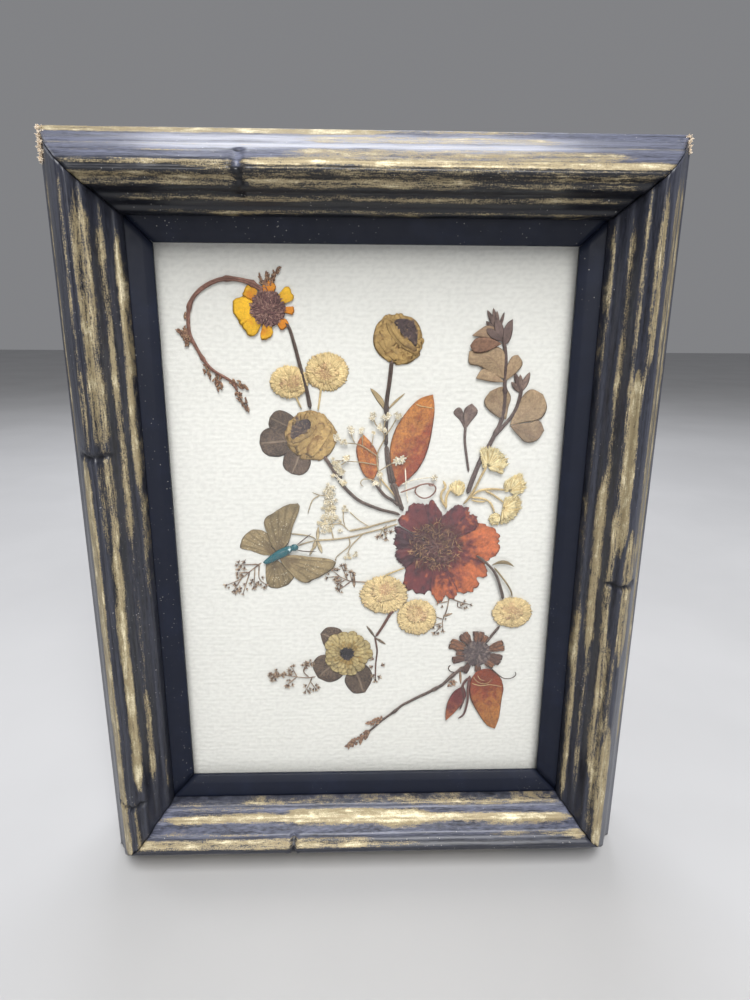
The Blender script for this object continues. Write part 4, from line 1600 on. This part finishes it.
class AddButterfly(Operator):
    """Add the butterfly: four wings, its painted body and its feelers"""
    bl_idname = "pressed.butterfly"
    bl_label = "Butterfly"

    def execute(self, context):
        colours = context.scene.pressed_colours
        wing = tissue("wing_scale_finish", colours.olive_wing, colours.wing_root, linear(96, 82, 58),
                      roughness=0.6, blotches=0.35, pleats=0.35, pleat_count=34, edge=0.3, grain=0.7)
        speck = tissue("wing_speck_finish", linear(226, 218, 196), dark=linear(180, 168, 140))
        wings = {
            "butterfly_forewing_upper": (BETWEEN, (-26.9, -6.2),
                [(-24.1, -3.2), (-23.4, -1.2), (-22.6, 2.2), (-21.4, 5.2), (-20.4, 7.8), (-20.3, 9.2),
                 (-21.3, 9.8), (-24.8, 9), (-28.6, 6.6), (-30.5, 5.5), (-31.3, 4), (-31, 2.2), (-30.1, -0.7),
                 (-29.3, -4)]),
            "butterfly_hindwing_upper": (UNDER, (-27.6, -6.6),
                [(-29.4, -3.8), (-30.1, -0.4), (-31.4, 0.9), (-32.8, 1.3), (-34.8, 1.4), (-36.3, 0.5),
                 (-37.7, -0.9), (-38.6, -2.9), (-38.9, -4.7), (-36.6, -5.1), (-34.3, -6), (-32.2, -6.8),
                 (-30.1, -7)]),
            "butterfly_forewing_lower": (BETWEEN, (-27, -7.4),
                [(-24, -6.8), (-21.7, -6.7), (-18.3, -7.2), (-12.7, -7.8), (-10.5, -8.5), (-9.6, -9.4),
                 (-10.3, -11), (-11.7, -12.4), (-13.8, -13.5), (-16.9, -15.2), (-19.1, -16), (-20.8, -15.4),
                 (-22.7, -13.8), (-24.6, -11.6), (-26.2, -9.6)]),
            "butterfly_hindwing_lower": (UNDER, (-28.2, -8),
                [(-25.6, -10.2), (-23.8, -12.2), (-22.5, -13.6), (-23.4, -15.4), (-24.6, -16.7),
                 (-26.4, -17.5), (-28.5, -17.9), (-30.4, -17.5), (-31.3, -15.7), (-31.4, -12.3),
                 (-31.2, -9.8)]),
        }
        for node_name, (lift, hub, outline) in wings.items():
            piece = Piece(node_name.replace("butterfly", "wing"))
            piece.fan(hub, outline, (lift + 0.1, lift), cells=(30, 24), thick=0.12, ragged=0.015, pleats=9,
                      pleat=0.03, crinkle=0.06, tone=lambda s, v, x, y: 1.1 - 1.5 * v + 0.3
                      * ripple(x, y, 1, 2))
            line = smooth_line(outline, 30, closed=True)
            middle = line[:-1].mean(axis=0)
            for _ in range(34):
                where = line[piece.dice.randrange(30)]
                here = middle + (where - middle) * piece.vary(0.1, 0.9)
                piece.grain(here, piece.vary(0.08, 0.2), lift=lift + 0.16, slim=0.8, high=0.1, cells=(5, 2),
                            finish=1)
            piece.place([wing, speck], "olive_wing", node_name)
        body = Piece("painted_body")
        enamel = butterfly_paint(colours)
        outline = [(-32, -8.9), (-29.8, -6.9), (-27.4, -5.1), (-24.8, -3.9), (-23.3, -3.7), (-22.6, -4.6),
                   (-23.4, -5.9), (-25.2, -7.2), (-27.4, -8.2), (-29.6, -9.2), (-31.2, -9.6)]
        body.leaf(outline, 5, OVER - 0.25, cells=(14, 36), thick=0.7, crinkle=0.04, lump=0.8,
                  tone=lambda s, v, x, y: (0.7 - 3 * abs(s + 0.35)) * (0.6 + 0.5 * ripple(x, y, 2, 2.4))
                  + 1.5 * math.exp(-((v - 0.86) / 0.03) ** 2) * (s > -0.3)
                  + 1.3 * math.exp(-(((v - 0.62) / 0.05) ** 2 + ((s - 0.4) / 0.25) ** 2)))
        body.grain((-22.2, -4.2), 1.25, lift=OVER - 0.2, slim=0.9, high=0.7, cells=(16, 5), tone=0.1)
        body.stem([(-21.7, -3.6), (-19, -1.3), (-16.9, 0.4)], 0.35, 0.3, lift=OVER, sides=6, finish=1)
        body.stem([(-21.6, -4.9), (-18.5, -5.4), (-15.4, -5.4)], 0.35, 0.3, lift=OVER, sides=6, finish=1)
        body.place([enamel, dark_stem(colours)], "teal_body", "butterfly_body")
        return {"FINISHED"}


# ---- fine sprays

class AddFineSprays(Operator):
    """Add the twigs, white florets and seed sprays"""
    bl_idname = "pressed.fine_sprays"
    bl_label = "Fine Sprays"

    def execute(self, context):
        colours = context.scene.pressed_colours
        twig = tissue("pale_twig_finish", colours.pale_twig, linear(196, 182, 152), linear(118, 100, 74))
        white = white_petal(colours)
        seed = seed_husk(colours)

        piece = Piece("butterfly_side_twig")
        stems = [([(-23.6, 0.1), (-20.4, -0.2), (-18.3, -0.5), (-16.4, -1.1), (-15.5, -2)], 0.45),
                 ([(-21.4, -3.9), (-18.5, -2.8), (-15.5, -2)], 0.45),
                 ([(-16.2, -2.1), (-10.4, -1.8), (-4.9, -1), (0.1, 0.4), (4.6, 1.6), (9.6, 3.2)], 0.6),
                 ([(-5.6, 0.9), (-2.4, 1.5), (0.7, 2.2), (4.6, 3.4), (9.3, 4.6)], 0.7),
                 ([(-10.2, -2), (-11.3, 4), (-11.2, 9), (-11, 15.1)], 0.4),
                 ([(-11.3, 2.9), (-8.2, 3.2), (-6.8, 2.3), (-5.4, 0.9)], 0.4),
                 ([(-7.1, 7.4), (-7.2, 4.6), (-6.6, 2.3)], 0.35),
                 ([(-5.4, 7.1), (-2.4, 4.3), (0.7, 2.3)], 0.3),
                 ([(-5.7, -1), (-5.4, -3.8), (-9.3, -7.4), (-9.6, -9.1)], 0.4),
                 ([(-1, 0.1), (-4.9, -4), (-6, -7)], 0.4), ([(4.4, 1.6), (5.6, 0), (5.9, -1.6)], 0.4),
                 ([(4.6, 1.6), (4.2, -0.2), (3.4, -1)], 0.3),
                 ([(-11.3, 12.1), (-14.1, 12.2), (-16.7, 13.2)], 0.35),
                 ([(-14.1, 12.2), (-16.4, 10.7), (-17.7, 7.3), (-17.9, 6.2)], 0.35)]
        piece.stems(stems, lift=(UNDER, UNDER + 0.2), sides=6, step=0.7, lumps=0.2)
        piece.petals((((-15.2, -2.2), (-14.8, 2.4), 1.1), ((-15.2, -2.2), (-13.8, -6.3), 1.2),
                      ((-15.7, -2.4), (-16.4, -5), 1.3), ((-16.3, -4), (-17.7, -7), 0.8)), lift=(0.2, 0.4),
                     cells=(4, 10), belly=0.5, blunt=1.5, rib=0.06, tone=0.4)
        for _ in range(16):
            foot = Vector((-11.2, 1 + 13 * piece.dice.random()))
            piece.stem([foot, foot + turned(piece.vary(0.2, 2.9), piece.vary(1, 2.6))], 0.26, 0.2, sides=5,
                       step=0.7, lift=UNDER + 0.1)
        florets(piece, (((-11, 15.1), 1.3), ((-10.4, 12.9), 1.3), ((-11, 11.5), 1), ((-10.4, 8.7), 1.3),
                        ((-11.8, 8.4), 1.1), ((-10.4, 6.2), 1.2), ((-12.7, 5.9), 1.2), ((-11.6, 4.6), 1.3),
                        ((-12.7, 3.4), 1), ((-6.6, 7.9), 1.2), ((-12.1, 0.9), 1), ((-6, -7.4), 1.3),
                        ((-3.8, -6.6), 1.1)), 3, 0.55, UNDER + 0.25, 0.8, finish=1)
        for _ in range(64):
            share = piece.dice.random() ** 1.3
            floret(piece, (-11.6 + piece.dice.gauss(0, 1.5 - 0.9 * share), 0.6 + share * 14.4),
                   piece.vary(0.5, 0.95), UNDER + piece.vary(0.15, 0.6), finish=1, tone=piece.dice.random())
        scatter_seeds(piece, ((5.4, 1.8), (5.5, 0.4), (3.4, -1), (5.9, -1.6), (7.3, 0.4), (4.6, -0.6)), 2)
        piece.place([twig, white, seed], "pale_twig", "butterfly_twig")

        sprig = Piece("white_floret_sprig")
        sprig.stems([([(4.2, 14.6), (3, 22), (3.2, 25.7), (5.1, 30.3), (2.4, 33.8), (1.8, 36)], 0.45),
                     ([(5.1, 30.3), (7, 32.8), (8.9, 36.3)], 0.4), ([(4.6, 31.4), (5.4, 36.3)], 0.35),
                     ([(3.7, 23.8), (-2, 27.6), (-6.8, 28.4), (-9, 29.8)], 0.4),
                     ([(-1.4, 27.4), (-1.4, 31.7)], 0.35), ([(-3.6, 28), (-5.2, 31.9)], 0.35),
                     ([(3.2, 21.6), (-2.8, 22.6), (-9.8, 23)], 0.35), ([(-6, 22.8), (-8.7, 21.1)], 0.35),
                     ([(3.2, 19.6), (6.4, 21.6), (9.4, 23.4)], 0.35), ([(1.3, 27), (1.8, 30.9)], 0.3),
                     ([(3.8, 16.2), (0.8, 17.3), (-0.9, 17.4), (-1.8, 16.8), (-1.9, 15.7), (-0.9, 15)], 0.4)],
                    lift=OVER, sides=6, step=0.7, lumps=0.15, finish=1)
        florets(sprig, (((1.8, 36), 1.4), ((5.4, 36.3), 1.5), ((8.9, 36.3), 1.4), ((4, 33), 1.2),
                        ((5.6, 32.2), 1), ((-5.2, 31.9), 1.5), ((-1.4, 31.7), 1.2), ((-9, 29.8), 1.2),
                        ((-6.8, 28.4), 1.2), ((-9.8, 23), 1.3), ((-5.7, 23), 1.8), ((-8.7, 21.1), 1.2),
                        ((2.6, 15.7), 1.3), ((3.7, 18.7), 1.1), ((9.4, 23.4), 1.9), ((1.8, 31.3), 0.7)), 4,
                0.5, OVER + 0.15, 0.7)
        for _ in range(26):
            share = sprig.dice.random()
            floret(sprig, (-8.9 + 1.2 * share + sprig.dice.gauss(0, 0.8), 22.5 - 7 * share),
                   sprig.vary(0.5, 0.95), OVER, tone=sprig.dice.random())
        sprig.place([white, twig], "white_floret", "white_sprig")

        left = Piece("left_seed_spray")
        twig_with_seeds(left, [[(-32.4, -9.2), (-36, -12), (-39.8, -15), (-43.6, -16.6)],
                               [(-33.4, -9.8), (-40, -10)], [(-36.4, -12.4), (-40, -12.6)],
                               [(-38.6, -14), (-41.6, -18.6)], [(-36.2, -12.2), (-38.6, -19.4)],
                               [(-34.6, -10.9), (-35.2, -17.4)],
                               [(-33.2, -9.6), (-33.4, -14.4), (-31.4, -16.5)]], 5)
        left.place([seed], "seed_brown", "seed_spray_left")
        right = Piece("right_seed_spray")
        twig_with_seeds(right, [[(-0.2, -15.9), (-5, -15.6), (-8.8, -14), (-12.3, -14.4)],
                                [(-5, -15.7), (-8.6, -18.4)], [(-6.6, -15), (-8.9, -16.4)],
                                [(-8.2, -14.2), (-10.6, -12)], [(-6, -15.2), (-7.8, -10.5)],
                                [(-4.6, -15.7), (-5.2, -12.7)]], 5)
        right.petal((-4.2, -12.9), (-3.9, -17.9), 1, lift=UNDER, cells=(3, 8), blunt=1.6, tone=0.6)
        right.place([seed], "seed_brown", "seed_spray_right")
        lower = Piece("lower_seed_twig")
        twig_with_seeds(lower, [[(26.1, -20.6), (25.5, -25.3), (24.3, -29.1), (24.4, -32.5)],
                                [(25.9, -22.6), (22.6, -23.2)], [(24.4, -28.9), (20.9, -27.4)],
                                [(24.3, -30), (21, -31)], [(24.3, -31), (21.8, -33.4)],
                                [(25.9, -21.2), (28.9, -22.6), (32.9, -23.8)],
                                [(28.9, -22.6), (29, -24.6), (30.9, -24.9)]], 3)
        lower.petal((27.3, -26.9), (24.3, -27.8), 0.9, lift=UNDER, cells=(3, 8), blunt=1.6, tone=0.6)
        lower.place([seed], "seed_brown", "seed_twig_lower")
        return {"FINISHED"}


# ---- lower flowers

class AddLowerLeft(Operator):
    """Add the lower left flower, its leaves, its seed sprig and its stem"""
    bl_idname = "pressed.lower_left"
    bl_label = "Lower Left Flower"

    def execute(self, context):
        colours = context.scene.pressed_colours
        buff = tissue("buff_petal_finish", colours.buff_petal, linear(150, 122, 66), linear(106, 90, 54),
                      blotches=0.35, pleats=0.3, pleat_count=7, edge=0.35)
        black = tissue("black_thread_finish", colours.black_heart, linear(64, 56, 60), linear(20, 18, 24))
        leaf = brown_leaf(colours)
        seed = seed_husk(colours)
        middle = Vector((-6.1, -40.3))
        piece = Piece("lower_left_bloom")
        piece.pad(circle(middle, 5.6), BETWEEN, 0.2, cells=(36, 6), tone=0.4)
        rings = ((3.2, 8.3, 14, 3.5), (2.8, 7, 12, 3.1), (2.3, 5.6, 11, 2.6), (1.7, 4.1, 9, 2.1))
        for level, (inner, outer, count, width) in enumerate(rings):
            petal_ring(piece, middle, inner, outer, count, width, BETWEEN + 0.08 + 0.12 * level,
                       turn=level * 0.7, stagger=0.16, sizes=0.15, cells=(10, 12), belly=0.72, narrow=0.45,
                       blunt=2.2, frill=0.2, curl=0.08, crinkle=0.1, lump=1.1,
                       tone=lambda s, v, x, y, t=0.12 * level: t + 0.7 * (1 - v) - 0.25 * abs(s) + 0.5
                       * ripple(x, y, t, 1.1))
        piece.grain((-6.3, -40.1), 2.5, lift=BETWEEN + 0.3, slim=1, high=0.45, cells=(20, 6), finish=1,
                    tone=-0.4)
        fibre_disc(piece, (-6.3, -40.1), 2.5, 190, BETWEEN + 0.5, finish=1, reach=0.8, height=0.3, width=0.24)
        piece.place([buff, black], "buff_petal", "lower_left_flower")
        leaves = Piece("lower_left_round_leaves")
        for outline, tip in (([(-7, -38.4), (-10.5, -39.3), (-13.6, -37.8), (-14.8, -33.6), (-12.3, -31.3),
                               (-8, -32.5)], 3),
                             ([(-7, -42), (-12, -41), (-15.6, -41.6), (-17.5, -44.9), (-15.8, -49.4),
                               (-11.7, -51), (-7.6, -48.3)], 4),
                             ([(-5, -43), (-6.2, -47.4), (-7.1, -50.9), (-4.3, -55.1), (-0.4, -54.8),
                               (2, -49.5), (0, -44.9)], 4)):
            leaves.leaf(outline, tip, UNDER, cells=(16, 22), crinkle=0.12, rib=0.08)
        leaves.place([leaf], "grey_brown_leaf", "lower_left_leaves")
        sprig = Piece("lower_left_seed_sprig")
        twig_with_seeds(sprig, [[(-16.4, -48.6), (-19.7, -49), (-25, -48.2), (-31.2, -47.5)],
                                [(-18.6, -48.9), (-20.4, -46.6), (-19.2, -43.8)],
                                [(-22.5, -48.6), (-24.2, -45)], [(-22.5, -48.6), (-26, -51.6)],
                                [(-17.6, -48.7), (-18.8, -51.6), (-20, -54)],
                                [(-18.2, -50.4), (-16.6, -53.1)], [(-26.6, -48), (-30.6, -48.9)],
                                [(-20.5, -46.8), (-18.2, -42.9)]], 5, lift=0.4)
        for _ in range(22):
            share = sprig.dice.random()
            seed_head(sprig, (-31.4 + 6.6 * share, -47.4 - 0.6 * share + sprig.dice.gauss(0, 0.7)),
                      sprig.vary(0, math.tau), 0.5, 0.5)
        sprig.place([seed], "seed_brown", "lower_left_sprig")
        stem = Piece("lower_left_stalk")
        stem.stem([(9.1, -25.3), (7.7, -26.4), (5.9, -29.6), (4.1, -32.8), (2.7, -34.8)], 1, 0.8, finish=2,
                  tone=-0.9)
        stem.stem([(2.6, -34.4), (3.1, -37.4), (3.4, -40), (3, -44), (2.9, -47.4), (2.9, -50.3)], 0.6, 0.4,
                  finish=2, tone=-0.9)
        stem.petals((((2.7, -34.9), (-0.1, -30.8), 0.8), ((2.9, -35.2), (6.2, -37.5), 0.9)), lift=0.2,
                    cells=(4, 10), belly=0.5, blunt=1.5, tone=1.3)
        for tip, angle in (((2.9, -50.3), -1.5), ((2, -42.6), 2.6), ((1.7, -45.4), 3.4), ((5.1, -44.9), 0.4),
                           ((4, -49.1), -0.4), ((2.2, -48.6), 3.8)):
            seed_head(stem, tip, angle, 0.7, finish=1)
        stem.place([leaf, seed, red_stem(colours)], "dark_stem", "lower_left_stem")
        return {"FINISHED"}


class AddLowerRight(Operator):
    """Add the lower right flower and the long budded stem"""
    bl_idname = "pressed.lower_right"
    bl_label = "Lower Right Flower"

    def execute(self, context):
        colours = context.scene.pressed_colours
        purple = tissue("purple_petal_finish", colours.purple_petal, linear(150, 104, 76), linear(58, 42, 44),
                        blotches=0.55, pleats=0.4, pleat_count=9, edge=0.4)
        fibre = tissue("grey_thread_finish", colours.grey_fibre, linear(140, 124, 118), linear(54, 46, 50))
        middle = Vector((35.6, -40.7))
        piece = Piece("lower_right_bloom")
        piece.pad(circle(middle, 4.6), BETWEEN, 0.3, cells=(36, 7), finish=1, crinkle=0.12, lump=0.9)
        for base, tip, width in (((32.6, -39.2), (26.6, -37), 4), ((33.8, -38), (30.6, -33.6), 3.6),
                                 ((35.6, -37.4), (36.2, -32.9), 3.8), ((38.4, -39.6), (44.6, -37.8), 3.9),
                                 ((38.8, -41.4), (44, -43.6), 4), ((37.6, -43), (41.6, -45.6), 2.8),
                                 ((33, -42.2), (27.6, -43.4), 2.8), ((34, -43.6), (31.4, -47.8), 2.6),
                                 ((32.6, -40.9), (28.8, -40.5), 1.8), ((37, -37.8), (38.6, -34.4), 2.2),
                                 ((36, -44), (36.4, -47.4), 2.2)):
            piece.petal(base, tip, width, lift=(BETWEEN + 0.1, BETWEEN), cells=(10, 14), belly=0.8,
                        narrow=0.25, blunt=3.4, frill=0.2, notch=0.14, teeth=3.4, pleats=5, pleat=0.06,
                        crinkle=0.1, tone=piece.dice.random())
        fibre_disc(piece, middle, 4.8, 330, BETWEEN + 0.25, finish=1, reach=1.5, height=0.3, width=0.32)
        piece.stem([(42.8, -30.9), (41.7, -32.3), (40, -34.7), (38.3, -37.4)], 0.9, 0.8, lift=0.4, finish=2)
        piece.stem([(38.6, -44.2), (40.3, -45.7), (42.7, -48), (44.7, -49.5), (46.7, -49.7), (48.3, -49),
                    (48.8, -48), (48.3, -47.2)], 0.4, 0.3, lift=OVER, sides=6, step=0.5, finish=2)
        piece.place([purple, fibre, dark_stem(colours)], "purple_brown_petal", "lower_right_flower")
        stem = Piece("long_budded_stalk")
        bud = bud_scale()
        stem.stem([(31.4, -45.4), (30, -47.1), (27.5, -49.3), (25, -52.1), (22.5, -53.6), (20, -55.1),
                   (16.7, -56.8), (13.9, -58.4), (11.7, -59.7), (9.4, -61.8), (6.7, -64), (4.4, -65.9),
                   (2.2, -68.2), (-0.3, -70.3)], 1.15, 0.7, knots=(0.12, 0.3, 0.68), sides=10, tone=0.6)
        for base, tip, width, count in (((5.4, -64.5), (-0.3, -66.7), 2.4, 3),
                ((0.9, -69.3), (-2.6, -74), 1.9, 3), ((0.9, -69.4), (-4.4, -72.8), 1.5, 3),
                ((-3.4, -72.8), (-6.8, -75.4), 2.6, 4)):
            bud_cluster(stem, base, tip, width, count * 9)
        stem.stem([(27.5, -45), (26.7, -46), (27.3, -47.3), (29, -47.8)], 0.4, 0.3, sides=6, step=0.5)
        stem.petal((30.6, -46.6), (31, -52.2), 0.8, lift=UNDER, cells=(3, 10), belly=0.5, blunt=1.6, finish=1,
                   tone=0.7)
        scatter_seeds(stem, ((28.7, -51), (27, -52.7), (28.3, -52.2), (27.8, -51.4)), 1)
        stem.place([dark_stem(colours), bud], "dark_stem", "long_bud_stem")
        return {"FINISHED"}


# ---- stage

# The camera, solved from the photograph's perspective: its place in millimetres and its axes
CAMERA_PLACE = (-3.64, -189.45, 172.5)
CAMERA_RIGHT = (0.9995, -0.0302, 0.0062)
CAMERA_UP = (0.0019, 0.2627, 0.9649)
CAMERA_LENS = 23.4


class AddStage(Operator):
    """Add the floor, the backdrop, the lights and the camera"""
    bl_idname = "pressed.stage"
    bl_label = "Stage"

    def execute(self, context):
        scene = context.scene
        self.add_floor(scene)
        scene.view_settings.view_transform = "Standard"
        for name, place, aim, size, power, tint in (
                ("front_softbox", (0.1, -1.1, 0.7), (0.0, 0.0, 0.1), 0.8, 6.0, (1.0, 0.985, 0.96)),
                ("overhead_softbox", (0.05, -0.7, 1.05), (0.0, 0.0, 0.1), 0.5, 13.0, (1.0, 0.995, 0.985)),
                ("rear_softbox", (0.0, 0.75, 0.95), (0.0, 0.0, 0.2), 0.7, 6.5, (0.92, 0.94, 1.0)),
                ("left_softbox", (-0.9, 0.25, 0.7), (0.0, 0.0, 0.1), 0.5, 1.2, (0.95, 0.97, 1.0))):
            lamp = bpy.data.lights.new(name, "AREA")
            lamp.shape, lamp.size, lamp.energy, lamp.color = "SQUARE", size, power, tint
            made = bpy.data.objects.new(name, lamp)
            made.location = place
            made.rotation_euler = (Vector(aim) - Vector(place)).to_track_quat("-Z", "Y").to_euler()
            scene.collection.objects.link(made)
        world = bpy.data.worlds.new("pale_room")
        world.use_nodes = True
        sky = world.node_tree.nodes["Background"]
        sky.inputs["Color"].default_value = (0.89, 0.9, 0.94, 1.0)
        sky.inputs["Strength"].default_value = 0.25
        scene.world = world
        self.add_camera(scene)
        return {"FINISHED"}

    def add_floor(self, scene):
        made, tree, shader = new_material("pale_floor")
        cloudy = ramp(tree, lumps(tree, 6, 4), 0.3, 0.7)
        wire(tree, shader, Base_Color=blend(tree, cloudy, (0.52, 0.52, 0.525), (0.56, 0.56, 0.565)),
             Roughness=0.85)
        floor = bmesh.new()
        bmesh.ops.create_grid(floor, x_segments=2, y_segments=2, size=4.0)
        mesh = bpy.data.meshes.new("floor")
        floor.to_mesh(mesh)
        floor.free()
        mesh.materials.append(made)
        ground = bpy.data.objects.new("floor", mesh)
        scene.collection.objects.link(ground)

    def add_camera(self, scene):
        camera = bpy.data.cameras.new("camera")
        camera.sensor_width = 36.0
        camera.lens = CAMERA_LENS
        camera.clip_start = 0.01
        right, up = Vector(CAMERA_RIGHT).normalized(), Vector(CAMERA_UP)
        back = right.cross(up).normalized()
        up = back.cross(right)
        made = bpy.data.objects.new("camera", camera)
        turn = Matrix((right, up, back)).transposed().to_4x4()
        made.matrix_world = Matrix.Translation(Vector(CAMERA_PLACE) * MM) @ turn
        scene.collection.objects.link(made)
        scene.camera = made


BUILD_ORDER = (AddRails, AddSlips, AddGlazing, AddYellowFlower, AddArchedStem, AddEverlastings, AddBudFlowers,
               AddLanceLeaves, AddRightSprig, AddCreamFlorets, AddTendril, AddRedFlower, AddButterfly,
               AddFineSprays, AddLowerLeft, AddLowerRight, AddStage)


class PressedFlowerPanel(Panel):
    """Lists the steps that build the pressed flower frame"""
    bl_idname = "VIEW3D_PT_pressed_flowers"
    bl_label = "Pressed Flower Frame"
    bl_space_type = "VIEW_3D"
    bl_region_type = "UI"
    bl_category = "Pressed Flowers"

    def draw(self, context):
        for settings in (context.scene.pressed_sizes, context.scene.pressed_colours):
            column = self.layout.column(align=True)
            for name in settings.__annotations__:
                column.prop(settings, name)
        for step in BUILD_ORDER:
            self.layout.operator(step.bl_idname)


CLASSES = (PressedSizes, PressedColours, *BUILD_ORDER, PressedFlowerPanel)


def register():
    for item in CLASSES:
        bpy.utils.register_class(item)
    bpy.types.Scene.pressed_sizes = PointerProperty(type=PressedSizes)
    bpy.types.Scene.pressed_colours = PointerProperty(type=PressedColours)


def unregister():
    del bpy.types.Scene.pressed_colours
    del bpy.types.Scene.pressed_sizes
    for item in reversed(CLASSES):
        bpy.utils.unregister_class(item)


def main():
    """Build every piece in order."""
    register()
    for step in BUILD_ORDER:
        group, name = step.bl_idname.split(".")
        getattr(getattr(bpy.ops, group), name)()


if __name__ == "__main__":
    main()
